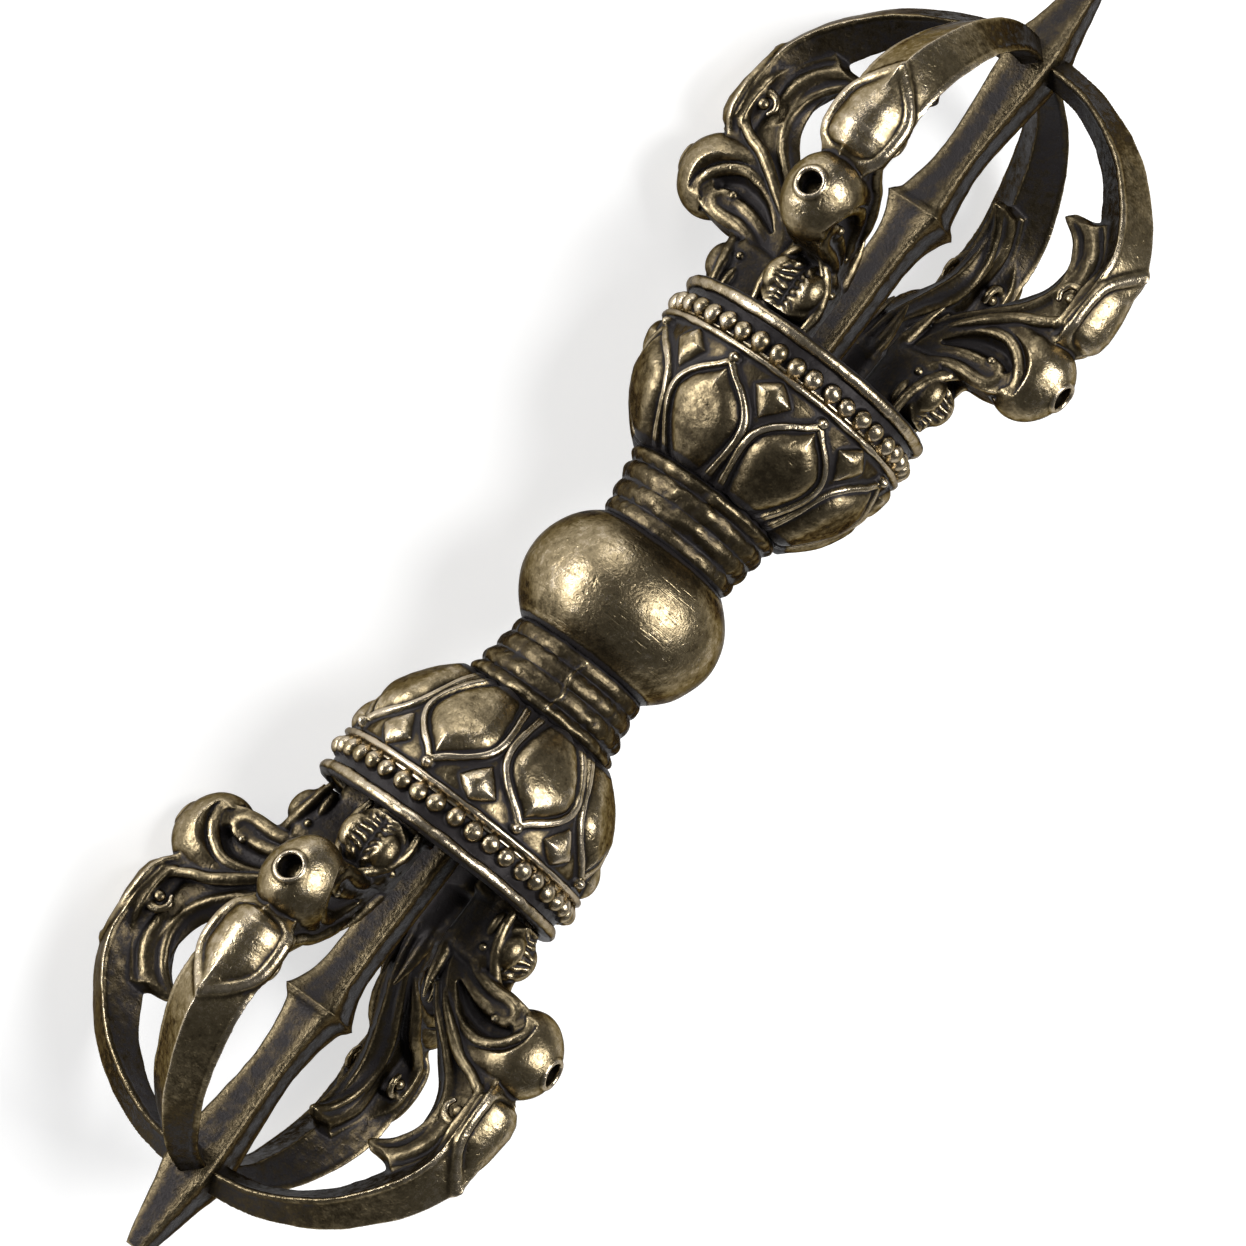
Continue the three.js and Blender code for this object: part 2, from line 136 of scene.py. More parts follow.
# Centre prong: half its diagonal at heights above the lip
CENTRE_PROFILE = ((SEAT_TOP - LIP_X, 1.85), (0.0, 1.85), (4.0, 1.85), (8.0, 1.8), (10.2, 2.0), (12.3, 2.72),
                  (13.2, 2.3), (15.5, 1.85), (17.8, 1.75), (21.0, 2.05), (24.0, 2.4), (26.0, 2.46),
                  (27.5, 2.05), (29.5, 1.58), (TIP_X - LIP_X - 0.6, 1.12), (TIP_X - LIP_X, 0.9))
KNOT_HEIGHT = 12.3
KNOT_CREASE = 0.3
KNOT_CREASE_LENGTH = 0.3
CENTRE_EDGE = 0.1
CENTRE_EDGE_SHARE = 0.08

# Outer prongs are drawn by height above the lip, reach from the axis and distance across, in that order
PRONGS = 4
FIRST_PRONG_ANGLE = math.radians(45)
FIELD_STEP = 0.08
FIELD_LOW = (-7.4, 1.5, 0.0)
FIELD_HIGH = (27.2, 16.8, 3.2)

# Ball: egg-shaped, and running down the cheek in a tail
BALL = (7.5, 13.5)
BALL_TO_LIP = 3.4
BALL_TO_TIP = 2.75
BALL_DEEP = 2.8
BALL_ACROSS = 2.6
BALL_TAIL = ((8.5, 12.7), (9.0, 11.6), (8.75, 10.4), (8.1, 9.15), (7.4, 8.05), (6.7, 7.2))
TAIL_LIFT = (0.5, 0.85, 0.95, 0.95, 0.95, 0.9)
TAIL_RADIUS = (1.6, 1.1, 0.78, 0.54, 0.38, 0.2)
HOLE_HEIGHT = 7.1
HOLE_RADIUS = 0.78
HOLE_FLOOR = 14.9
HOLE_RING = 1.0
HOLE_RING_THICK = 0.16

# Teardrop, and the pointed margin round it
DROP_TOP = ((10.15, 15.1), (10.5, 15.75), (11.1, 16.12), (12.0, 16.3), (13.5, 16.2), (15.0, 15.98),
            (16.2, 15.76), (16.8, 15.6))
DROP_BASE = 14.2
DROP_HALF_WIDTH = 2.3
DROP_FACET = 1.85
DROP_HEAD = 1.3
SHIELD_EDGE = ((9.95, 0.0), (10.05, 1.3), (10.6, 2.1), (11.5, 2.45), (13.0, 2.55), (14.3, 2.3), (15.5, 1.4),
               (16.8, 0.0))
SHIELD_TOP = ((9.95, 14.9), (10.5, 15.3), (11.3, 15.6), (12.5, 15.7), (16.8, 15.78))
SHIELD_FALL = 0.33
SHIELD_SINK = 0.1
SHIELD_FLOOR = 13.6
SHIELD_BEAD = 0.26
SHIELD_BEAD_IN = 0.05

# Rows of the rib: height, reach, ridge outwards, keel inwards, half width
RIB_ROWS = (
    (11.0, 14.05, 1.5, 1.5, 2.3),
    (13.8, 14.3, 1.6, 1.8, 2.5),
    (16.5, 14.1, 1.6, 2.0, 2.55),
    (19.1, 12.7, 1.5, 1.95, 2.4),
    (21.75, 10.2, 1.4, 1.45, 2.1),
    (23.1, 8.2, 1.35, 1.15, 1.9),
    (24.05, 6.3, 1.25, 0.95, 1.65),
    (24.7, 4.4, 1.2, 0.85, 1.4),
    (25.05, 2.3, 1.15, 0.85, 1.2),
    (25.1, 1.4, 1.15, 0.85, 1.15),
)
RIB_EDGE = 0.2

# Cheek of the outer prong: the leaf's inner edge from the root to its hooked tip, then back to the rib
LEAF_TIP = (17.4, 8.5)
LEAF_HEEL = (19.3, 11.5)
CHEEK_BROW = (4.9, 13.2)
LEAF_INNER = ((3.4, 4.35), (5.6, 4.95), (7.55, 6.1), (9.2, 7.75), (10.5, 8.9), (11.85, 10.05), (12.8, 10.6),
              (14.0, 10.85), (15.1, 10.8), (16.2, 10.3), (16.9, 9.4), LEAF_TIP)
LEAF_BACK = (LEAF_TIP, (17.75, 9.2), (17.9, 9.9), (18.15, 10.6), (18.65, 11.1), LEAF_HEEL)
CHEEK_OUTER = (LEAF_HEEL, (16.5, 14.0), (12.5, 14.6), (8.0, 13.8), CHEEK_BROW)
NECK_OUTER = (CHEEK_BROW, (4.55, 12.3), (4.4, 11.2), (4.38, 9.9), (4.1, 8.6), (3.4, 8.2))
LEAF_EDGE_LINE = ((6.6, 6.0), (7.8, 7.1), (9.1, 8.6), (10.3, 9.95), (11.0, 10.65), (12.0, 11.3), (13.0, 11.6),
                  (14.0, 11.58), (15.0, 11.3), (16.0, 10.7), (16.8, 9.9), (17.4, 8.95))
LEAF_EDGE_LIFT = (0.6, 0.72, 0.75, 0.75, 0.72, 0.6, 0.4, 0.1)
LEAF_EDGE_RADIUS = (0.2, 0.3, 0.32, 0.32, 0.3, 0.22)
LEAF_BACK_LINE = ((13.6, 12.75), (14.9, 12.6), (16.0, 12.15), (16.9, 11.4), (17.5, 10.4), (17.65, 9.3))
LEAF_BACK_LIFT = (0.6, 0.7, 0.55, 0.1)
LEAF_BACK_RADIUS = (0.35, 0.5, 0.42, 0.22)

# The line that parts the thin leaf from the thick web, with half the thickness of each along it
WEB_EDGE = ((6.5, 6.7), (7.5, 7.85), (9.0, 9.9), (9.8, 11.2), (10.2, 12.3), (10.9, 13.3), (12.2, 13.8),
            (14.0, 13.5), (16.0, 12.95), (17.8, 11.6), (18.7, 10.3))
WEB_THICK = (1.2, 1.3, 1.5, 1.7, 1.75, 1.75, 1.6, 1.4, 1.2, 1.0, 0.8)
LEAF_THICK = (1.2, 1.05, 0.95, 0.9, 0.9, 0.95, 0.95, 0.95, 0.9, 0.8, 0.7)

# The leaf thins towards its inner edge, its hooked tip and its back: half the thickness there, and the rise
LEAF_EDGE_THIN = 0.12
LEAF_BEVEL = 0.85
LEAF_TIP_THIN = 0.22
LEAF_TIP_TAPER = 0.42
LEAF_BACK_THIN = 0.15
LEAF_BACK_BEVEL = 1.2

# The recess under the hood, and the groove beside it
RECESS = ((6.75, 12.2), (7.1, 11.3), (7.05, 10.2), (6.8, 9.2), (6.35, 8.3), (5.8, 7.45))
RECESS_HALF_WIDTH = (0.55, 0.62, 0.6, 0.5, 0.36, 0.16)
RECESS_THICK = 0.75
GROOVE_WIDTH = 0.44
GROOVE_THICK = 1.8
GROOVE_RISE = 0.8

# Raised lines on the cheek, each with its lift from the middle plane and its radius
STEM = ((6.7, 6.9), (7.5, 7.85), (9.0, 9.9), (9.8, 11.2), (10.2, 12.3), (10.65, 13.15), (11.25, 13.8),
        (12.1, 14.1), (12.95, 13.9), (13.45, 13.25), (13.3, 12.6), (12.7, 12.3), (12.2, 12.5))
STEM_LIFT = (0.95, 1.3, 1.55, 1.7, 1.75, 1.8, 1.85, 1.9, 1.95, 1.95, 1.9, 1.85, 1.8)
STEM_RADIUS = (0.2, 0.3, 0.38, 0.42, 0.43, 0.43, 0.41, 0.38, 0.35, 0.32, 0.3, 0.26, 0.2)
STEM_BOSS = (12.6, 13.2, 1.85)
STEM_BOSS_RADIUS = 0.4
HOOD = ((4.75, 13.1), (5.4, 13.6), (6.3, 13.55), (7.2, 13.0), (7.85, 12.2), (8.2, 11.3), (8.15, 10.3),
        (7.85, 9.3), (7.3, 8.3), (6.6, 7.4))
HOOD_LIFT = (0.5, 1.3, 1.55, 1.6, 1.6, 1.55, 1.4, 1.2, 1.05, 0.9)
HOOD_RADIUS = (0.42, 0.48, 0.5, 0.48, 0.46, 0.44, 0.4, 0.36, 0.32, 0.25)
HOOK = ((3.7, 6.8), (4.5, 8.2), (4.85, 9.6), (4.88, 11.0), (5.05, 11.8), (5.6, 12.2), (6.2, 11.95),
        (6.4, 11.3))
HOOK_LIFT = (0.85, 1.1, 1.2, 1.22, 1.22, 1.22, 1.22, 1.2)
HOOK_RADIUS = (0.35, 0.47, 0.52, 0.52, 0.5, 0.46, 0.4, 0.3)
HOOK_BOSS = (6.4, 11.15, 1.35)
HOOK_BOSS_RADIUS = 0.34
FOLD = ((6.1, 11.2), (6.05, 10.1), (5.75, 8.9), (5.2, 7.8), (4.5, 6.9))
FOLD_LIFT = (0.95, 1.05, 1.02, 0.95, 0.85)
FOLD_RADIUS = (0.34, 0.46, 0.46, 0.38, 0.22)
EAR = ((3.5, 4.95), (4.6, 5.15), (5.8, 5.35), (6.8, 5.5), (7.8, 5.75))
EAR_LIFT = (0.9, 0.95, 0.9, 0.8, 0.6)
EAR_RADIUS = (0.5, 0.55, 0.45, 0.3, 0.1)

# Root of the outer prong, in the cup and above the lip
TENON_END = -7.3
TENON_FOOT = -5.1
TENON_SHOULDER = -2.7
TENON_THICK = 1.1
TENON_SWELL = 0.75
ROOT_OUTLINE = ((TENON_END, 4.4), (TENON_FOOT, 4.25), (0.0, 4.15), (3.6, 4.2), (4.6, 4.7), (4.8, 8.5),
                (4.2, 8.9), (3.7, 9.4), (2.9, 9.7), (1.9, 9.7), (0.9, 9.5), (0.22, 9.1), (0.22, 7.6),
                (TENON_SHOULDER, 7.5), (TENON_FOOT, 6.4), (TENON_END, 6.2))
ROOT_REACH = (4.2, 6.0, 7.5, 8.6, 9.4, 10.1)
ROOT_THICK = (1.5, 1.8, 2.05, 2.1, 1.75, 1.1)
ROOT_EDGE_FALL = 0.8
ROOT_EDGE_WIDTH = 0.45
ROOT_ROUND = 0.9
CHEEK_LOBE = (2.3, 8.9, 1.3)
CHEEK_LOBE_HALF = (1.35, 1.05, 0.95)
ROOT_GROOVE = 0.6
ROOT_GROOVE_HALF = 0.42
ROOT_STRAND = ((4.6, 9.7), (4.15, 9.3), (3.5, 8.9), (2.5, 8.5), (1.4, 8.2), (0.2, 8.0))
ROOT_STRAND_LIFT = (0.8, 1.45, 1.95, 2.2, 2.25, 2.1)
ROOT_STRAND_RADIUS = (0.34, 0.38, 0.4, 0.38, 0.34, 0.28)
ALMOND = (1.35, 7.45, 1.95)
ALMOND_HALF = (0.95, 0.4, 0.4)
ROOT_BEAD = (3.1, 7.7, 2.0)
ROOT_BEAD_RADIUS = 0.3
TEETH = 0.055
TOOTH_PITCH = 0.5
FILE_MARKS = 0.02
PRONG_DENT = 0.045
PRONG_DENT_SIZE = 1.7

# Wear and painted shade of the outer prongs: lighter from the root to the back of the arch and on what faces
# outwards, and darker with painted shade on what faces the axis inside the cage
WEAR_AND_SHADE_FROM = 5.0
WEAR_AND_SHADE_TO = 15.0
WEAR_AND_SHADE_BY_REACH = 0.36
WEAR_AND_SHADE_OUTWARDS = 0.24

# Smoothing that finds hollows and edges: rounds, the rise that counts in full, weight for each
SHELTER = ((3, 0.02, 0.3, 0.1), (14, 0.06, 0.4, 0.36), (60, 0.2, 0.5, 0.5))

# Colours of the brass, from the hollows to where it is rubbed most
DARK_PATINA = (0.0175, 0.0153, 0.0158, 1)
OLIVE_BRASS = (0.060, 0.0465, 0.0275, 1)
GOLDEN_BRASS = (0.255, 0.203, 0.120, 1)
BRIGHT_BRASS = (0.440, 0.372, 0.275, 1)
GRAZING_TINT = (0.24, 0.23, 0.22, 1)

# What makes the brass look rubbed, and how far it is rubbed where each colour gives way to the next
PROUD_WEAR = 0.55
HOLLOW_DIRT = 1.1
FINE_MOTTLE = 0.75
BROAD_MOTTLE = 0.45
SPECKLE_WEAR = 0.12
DARK_TO_OLIVE = (0.05, 0.45)
OLIVE_TO_GOLD = (0.38, 0.85)
GOLD_TO_BRIGHT = (0.72, 1.1)
ROUGH_WHEN_DARK = 0.46
ROUGH_WHEN_RUBBED = 0.27
METAL_WHEN_DARK = 0.3
GRAIN_DEPTH = 0.06
GRAIN_STRENGTH = 0.55

# The photograph's view, fitted to the object's outline
IMAGE_SIDE = 1246
VIEW_TILT = math.radians(6.532)
VIEW_LEAN = math.radians(19.785)
VIEW_ROLL = math.radians(52.827)
VIEW_DISTANCE = 527.2
VIEW_FOCAL = 8039.4
GLOBE_IN_IMAGE = (621.74, 608.23)
SENSOR = 36.0

# Studio
FLOOR_HALF = 3.0
FLOOR_GREY = 0.5
FLOOR_GLOW = 0.62
LIGHT_LOW = 0.26
LIGHT_OVERHEAD = 0.11


# Lines and outlines
def smooth(points, steps):
    """A smooth line through the points, with every column carried along."""
    rows = np.array(points, float)
    rows = np.vstack([2 * rows[0] - rows[1], rows, 2 * rows[-1] - rows[-2]])
    line = []
    for before, start, end, after in zip(rows[:-3], rows[1:-2], rows[2:-1], rows[3:]):
        for share in np.linspace(0, 1, steps, endpoint=False):
            line.append(0.5 * (2 * start + (end - before) * share
                               + (2 * before - 5 * start + 4 * end - after) * share ** 2
                               + (3 * start - before - 3 * end + after) * share ** 3))
    line.append(rows[-2])
    return np.array(line)


def length_along(points):
    """Distance along a line at each of its points."""
    return np.concatenate([[0], np.cumsum(np.hypot(*np.diff(points, axis=0).T))])


def spread(values, share):
    """Values set at even steps of a path, read at a share of its length."""
    return np.interp(share, np.linspace(0, 1, len(values)), values)


def plane(one, other):
    """Two coordinates, each given over the whole plane that they span."""
    return one + 0 * other, other + 0 * one


def along(path, x, y):
    """Distance to a path, the share of its length at the nearest point, and the side: 1 on its left."""
    best = np.full(x.shape, 1e9)
    share = np.zeros(x.shape)
    side = np.ones(x.shape)
    steps = np.diff(path[:, :2], axis=0)
    lengths = np.hypot(steps[:, 0], steps[:, 1])
    done = 0.0
    for (ax, ay), (dx, dy), length in zip(path[:-1, :2], steps, lengths):
        part = np.clip(((x - ax) * dx + (y - ay) * dy) / length ** 2, 0, 1)
        gap = np.hypot(x - ax - part * dx, y - ay - part * dy)
        near = gap < best
        best = np.where(near, gap, best)
        share = np.where(near, (done + part * length) / lengths.sum(), share)
        side = np.where(near, np.where(dx * (y - ay) - dy * (x - ax) >= 0, 1.0, -1.0), side)
        done += length
    return best, share, side


def depth_inside(outline, x, y):
    """Distance to a closed outline, positive inside it."""
    closed = np.vstack([outline, outline[:1]])
    keep = np.append(True, np.hypot(*np.diff(closed, axis=0).T) > 1e-6)
    closed = closed[keep]
    inside = np.zeros(x.shape, bool)
    for (ax, ay), (bx, by) in zip(closed[:-1], closed[1:]):
        if ay != by:
            inside ^= ((ay > y) != (by > y)) & (x < (bx - ax) * (y - ay) / (by - ay) + ax)
    gap = along(closed, x, y)[0]
    return np.where(inside, gap, -gap)


def step_up(low, high, value):
    """0 up to low, 1 from high on, and a soft step between them."""
    share = np.clip((value - low) / (high - low), 0, 1)
    return share * share * (3 - 2 * share)


def swell(places, size, seed):
    """A smooth random field from -1 to 1 with features of the given size, the same in every run."""
    grid = np.random.default_rng(seed).uniform(-1, 1, (32, 32, 32))
    cell = places / size
    whole = np.floor(cell).astype(int)
    part = cell - whole
    part = part * part * (3 - 2 * part)
    total = np.zeros(len(places))
    for corner in range(8):
        pick = [(corner >> axis) & 1 for axis in range(3)]
        weight = np.ones(len(places))
        for axis in range(3):
            weight *= part[:, axis] if pick[axis] else 1 - part[:, axis]
        at = [(whole[:, axis] + pick[axis]) % 32 for axis in range(3)]
        total += weight * grid[tuple(at)]
    return total


# Solid forms as distance fields, negative inside
def blend(one, other, width):
    """Both forms joined with a fillet of about that width."""
    share = np.clip(0.5 + 0.5 * (other - one) / width, 0, 1)
    return other + (one - other) * share - width * share * (1 - share)


def carve(one, other, width):
    """What the two forms share, with a rounded edge."""
    return -blend(-one, -other, width)


def lump(h, r, t, middle, half):
    """An oval solid."""
    parts = [(h - middle[0]) / half[0], (r - middle[1]) / half[1], (t - middle[2]) / half[2]]
    size = np.sqrt(parts[0] ** 2 + parts[1] ** 2 + parts[2] ** 2)
    steep = np.sqrt(sum((part / half[i]) ** 2 for i, part in enumerate(parts)))
    return size * (size - 1) / np.maximum(steep, 1e-6)


# Meshes
def vertex_normals(places, faces):
    """The way out of the metal at each point."""
    corner = places[faces]
    across = np.cross(corner[:, 2] - corner[:, 0], corner[:, 3] - corner[:, 1])
    normals = np.zeros_like(places)
    for i in range(4):
        for axis in range(3):
            normals[:, axis] += np.bincount(faces[:, i], across[:, axis], len(places))
    return normals / np.maximum(np.linalg.norm(normals, axis=1), 1e-12)[:, None]


def sheltered(places, faces, normals):
    """How far each point lies in a hollow, and how far it stands proud, each from 0 to 1."""
    ends = np.vstack([faces[:, [0, 1]], faces[:, [1, 2]], faces[:, [2, 3]], faces[:, [3, 0]]])
    start = np.concatenate([ends[:, 0], ends[:, 1]])
    end = np.concatenate([ends[:, 1], ends[:, 0]])
    count = np.maximum(np.bincount(start, minlength=len(places)), 1)[:, None]
    soft = places.copy()
    hollow = np.zeros(len(places))
    proud = np.zeros(len(places))
    done = 0
    for rounds, scale, low, high in SHELTER:
        for _ in range(rounds - done):
            total = np.stack([np.bincount(start, soft[end, axis], len(places)) for axis in range(3)], axis=1)
            soft += 0.7 * (total / count - soft)
        done = rounds
        rise = np.einsum("ij,ij->i", places - soft, normals) / scale
        hollow += low * np.clip(-rise, 0, 1.5)
        proud += high * np.clip(rise, 0, 1.5)
    return np.clip(hollow, 0, 1), np.clip(proud, 0, 1)


def put_in_scene(name, data):
    made = bpy.data.objects.new(name, data)
    bpy.context.scene.collection.objects.link(made)
    return made


def cast(name, places, faces, material, node, reach=None, worn=None, joints=()):
    """One cast piece as a mesh, with its hollows and high points kept on its points.
    Dirt lies in the joints: their distances from the middle of the vajra are given."""
    hollow, proud = worn or sheltered(places, faces, vertex_normals(places, faces))
    for joint in joints:
        near = np.exp(-((np.abs(places[:, 0]) - joint) / JOINT_DIRT) ** 2)
        hollow, proud = np.maximum(hollow, near), proud * (1 - near)
    mesh = bpy.data.meshes.new(name)
    mesh.from_pydata((places * MM).tolist(), [], faces.tolist())
    for label, values in (("hollow", hollow), ("proud", proud), ("reach", reach)):
        if values is not None:
            layer = mesh.attributes.new(label, "FLOAT", "POINT")
            layer.data.foreach_set("value", np.asarray(values, np.float32))
    mesh.polygons.foreach_set("use_smooth", np.ones(len(mesh.polygons), bool))
    mesh.validate()
    mesh.update()
    mesh.materials.append(material)
    piece = put_in_scene(name, mesh)
    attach(piece, "root")
    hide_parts(node)


def ring_faces(rows, around, closed):
    """The quads between rows of points that go round; closed joins the last row to the first."""
    row, column = np.meshgrid(np.arange(rows if closed else rows - 1), np.arange(around), indexing="ij")
    below, above = row * around, ((row + 1) % rows) * around
    after = (column + 1) % around
    return np.stack([below + column, below + after, above + after, above + column], axis=-1).reshape(-1, 4)


def turned(outline, around, relief=None):
    """Points and faces of a round piece about X, from a closed outline of x and radius.
    Relief lifts the points off the outline: it takes x, angle, radius and the distance along the outline."""
    steps = np.roll(outline, -1, axis=0) - np.roll(outline, 1, axis=0)
    steps /= np.maximum(np.hypot(steps[:, 0], steps[:, 1]), 1e-9)[:, None]
    out = np.stack([-steps[:, 1], steps[:, 0]], axis=1)
    length = length_along(outline)
    angle = np.linspace(0, 2 * np.pi, around, endpoint=False)
    x, radius = (np.repeat(outline[:, axis, None], around, axis=1) for axis in range(2))
    turn = np.repeat(angle[None, :], len(outline), axis=0)
    if relief is not None:
        lift = relief(x, turn, radius, np.repeat(length[:, None], around, axis=1))
        x = x + out[:, :1] * lift
        radius = radius + out[:, 1:] * lift
    places = np.stack([x, -radius * np.sin(turn), radius * np.cos(turn)], axis=-1).reshape(-1, 3)
    return places, ring_faces(len(outline), around, True)


def dented(places, faces, depth, size, seed):
    """The small unevenness of a hand-worked casting."""
    normals = vertex_normals(places, faces)
    lift = depth * (swell(places, size, seed) + 0.5 * swell(places, size / 2.3, seed + 1))
    return places + normals * lift[:, None]


def as_drawn(places):
    """The right end, where every piece is drawn."""
    return places


def half_turn(places):
    """The same form on the left end."""
    return places * np.array([-1.0, -1.0, 1.0])


ENDS = (("right", as_drawn), ("left", half_turn))


def both_ends(name, places, faces, materials, dent, size, seed, joints=(), reach=None):
    """The same piece on either end, each with a finish and dents of its own."""
    for (side, turn), material, own_seed in zip(ENDS, materials, (seed, seed + 50)):
        moved = dented(turn(places), faces, dent, size, own_seed)
        cast(f"cast_{side}_{name}", moved, faces, material, f"{side}_{name}", reach, joints=joints)


# Surface effects that the brasses share
VALUE = "NodeSocketFloat"
COLOUR = "NodeSocketColor"


def effect(name, inputs, outputs):
    """An empty shader group with its inputs, its outputs and both end nodes."""
    group = bpy.data.node_groups.new(name, "ShaderNodeTree")
    for way, sockets in (("INPUT", inputs), ("OUTPUT", outputs)):
        for label, kind in sockets.items():
            group.interface.new_socket(label, in_out=way, socket_type=kind)
    return group, group.nodes.new("NodeGroupInput"), group.nodes.new("NodeGroupOutput")


def wire(tree, source, target):
    tree.links.new(source, target)


def noise(tree, place, scale, detail, roughness=0.55):
    node = tree.nodes.new("ShaderNodeTexNoise")
    wire(tree, place, node.inputs["Vector"])
    node.inputs["Scale"].default_value = scale
    node.inputs["Detail"].default_value = detail
    node.inputs["Roughness"].default_value = roughness
    return node.outputs["Fac"]


def maths(tree, operation, *values):
    node = tree.nodes.new("ShaderNodeMath")
    node.operation = operation
    for i, value in enumerate(values):
        if isinstance(value, (int, float)):
            node.inputs[i].default_value = value
        else:
            wire(tree, value, node.inputs[i])
    return node.outputs[0]


def between(tree, value, low, high, out_low=0.0, out_high=1.0):
    """A soft step from out_low to out_high as the value goes from low to high."""
    node = tree.nodes.new("ShaderNodeMapRange")
    node.interpolation_type = "SMOOTHSTEP"
    wire(tree, value, node.inputs["Value"])
    for label, setting in (("From Min", low), ("From Max", high), ("To Min", out_low), ("To Max", out_high)):
        node.inputs[label].default_value = setting
    return node.outputs["Result"]


def mixed(tree, share, one, other):
    node = tree.nodes.new("ShaderNodeMix")
    node.data_type = "RGBA"
    wire(tree, share, node.inputs["Factor"])
    wire(tree, one, node.inputs["A"])
    wire(tree, other, node.inputs["B"])
    return node.outputs["Result"]


def carried(tree, label):
    """A value kept on the piece's points."""
    node = tree.nodes.new("ShaderNodeAttribute")
    node.attribute_name = label
    return node.outputs["Fac"]


def object_place(tree):
    return tree.nodes.new("ShaderNodeTexCoord").outputs["Object"]


def cast_grain():
    """The skin of a brass casting: fine grit, and pits of a few tenths of a millimetre."""
    group, start, end = effect(
        "cast grain",
        {"Grit": VALUE, "Pits": VALUE, "Scratches": VALUE},
        {"Height": VALUE, "Speckle": VALUE},
    )
    place = object_place(group)
    grit = noise(group, place, scale=5200.0, detail=3.0, roughness=0.65)
    soft = noise(group, place, scale=1500.0, detail=2.0)
    pits = between(group, noise(group, place, scale=2300.0, detail=2.0, roughness=0.5), 0.60, 0.74)
    height = maths(group, "MULTIPLY", grit, start.outputs["Grit"])
    height = maths(group, "MULTIPLY_ADD", soft, 0.9, height)
    height = maths(group, "SUBTRACT", height, maths(group, "MULTIPLY", pits, start.outputs["Pits"]))
    stretch = group.nodes.new("ShaderNodeMapping")
    stretch.inputs["Scale"].default_value = (1.0, 0.07, 0.07)
    stretch.inputs["Rotation"].default_value = (0.0, 0.25, 0.15)
    wire(group, place, stretch.inputs["Vector"])
    lines = between(group, noise(group, stretch.outputs["Vector"], scale=5000.0, detail=2.0), 0.55, 0.75)
    where = between(group, noise(group, place, scale=330.0, detail=1.0), 0.45, 0.6)
    lines = maths(group, "MULTIPLY", maths(group, "MULTIPLY", lines, where), start.outputs["Scratches"])
    height = maths(group, "SUBTRACT", height, lines)
    wire(group, height, end.inputs["Height"])
    wire(group, between(group, grit, 0.35, 0.7), end.inputs["Speckle"])
    return group


def patina():
    """Dark brown in the hollows, olive and gold on the open faces, pale where the piece is rubbed most."""
    group, start, end = effect(
        "patina",
        {"Wear and shade": VALUE, "Hollow": VALUE, "Proud": VALUE, "Speckle": VALUE, "Mottle": VALUE,
         "Dark": COLOUR, "Olive": COLOUR, "Gold": COLOUR, "Bright": COLOUR},
        {"Color": COLOUR, "Roughness": VALUE, "Metal": VALUE},
    )
    place = object_place(group)
    broad = noise(group, place, scale=260.0, detail=3.0)
    fine = noise(group, place, scale=1700.0, detail=4.0, roughness=0.66)
    rubbed = maths(group, "MULTIPLY_ADD", start.outputs["Proud"], PROUD_WEAR, start.outputs["Wear and shade"])
    rubbed = maths(group, "MULTIPLY_ADD", start.outputs["Hollow"], -HOLLOW_DIRT, rubbed)
    mottle = maths(group, "MULTIPLY_ADD", maths(group, "SUBTRACT", fine, 0.5), FINE_MOTTLE,
                   maths(group, "MULTIPLY", maths(group, "SUBTRACT", broad, 0.5), BROAD_MOTTLE))
    rubbed = maths(group, "MULTIPLY_ADD", mottle, start.outputs["Mottle"], rubbed)
    rubbed = maths(group, "MULTIPLY_ADD", start.outputs["Speckle"], SPECKLE_WEAR, rubbed)
    colour = start.outputs["Dark"]
    for label, step in (("Olive", DARK_TO_OLIVE), ("Gold", OLIVE_TO_GOLD), ("Bright", GOLD_TO_BRIGHT)):
        colour = mixed(group, between(group, rubbed, *step), colour, start.outputs[label])
    rough = between(group, rubbed, 0.0, 0.9, ROUGH_WHEN_DARK, ROUGH_WHEN_RUBBED)
    metal = between(group, rubbed, 0.0, 0.4, METAL_WHEN_DARK, 1.0)
    for label, source in (("Color", colour), ("Roughness", rough), ("Metal", metal)):
        wire(group, source, end.inputs[label])
    return group


GRAIN = cast_grain()
PATINA = patina()


def placed(tree, group, values):
    """A shared effect set into a material, with the values given for its inputs."""
    node = tree.nodes.new("ShaderNodeGroup")
    node.node_tree = group
    for label, value in values.items():
        if isinstance(value, (int, float, tuple)):
            node.inputs[label].default_value = value
        else:
            wire(tree, value, node.inputs[label])
    return node


def brass(name, wear, grit, pits, mottle=1.0, scratches=0.0):
    """Antique brass: how far it is rubbed, and how coarse its cast skin is."""
    material = bpy.data.materials.new(name)
    material.use_nodes = True
    tree = material.node_tree
    tree.nodes.clear()
    shader = tree.nodes.new("ShaderNodeBsdfPrincipled")
    out = tree.nodes.new("ShaderNodeOutputMaterial")
    wire(tree, shader.outputs["BSDF"], out.inputs["Surface"])
    grain = placed(tree, GRAIN, {"Grit": grit, "Pits": pits, "Scratches": scratches})
    finish = placed(tree, PATINA, {
        # The reach attribute is added to the wear; on the outer prongs it also carries painted shade on the
        # faces towards the axis
        "Wear and shade": maths(tree, "ADD", carried(tree, "reach"), wear),
        "Hollow": carried(tree, "hollow"),
        "Proud": carried(tree, "proud"),
        "Speckle": grain.outputs["Speckle"],
        "Mottle": mottle,
        "Dark": DARK_PATINA,
        "Olive": OLIVE_BRASS,
        "Gold": GOLDEN_BRASS,
        "Bright": BRIGHT_BRASS,
    })
    bump = tree.nodes.new("ShaderNodeBump")
    bump.inputs["Strength"].default_value = GRAIN_STRENGTH
    bump.inputs["Distance"].default_value = GRAIN_DEPTH * MM
    wire(tree, grain.outputs["Height"], bump.inputs["Height"])
    wire(tree, bump.outputs["Normal"], shader.inputs["Normal"])
    for source, target in (("Color", "Base Color"), ("Roughness", "Roughness"), ("Metal", "Metallic")):
        wire(tree, finish.outputs[source], shader.inputs[target])
    shader.inputs["Specular Tint"].default_value = GRAZING_TINT
    return material


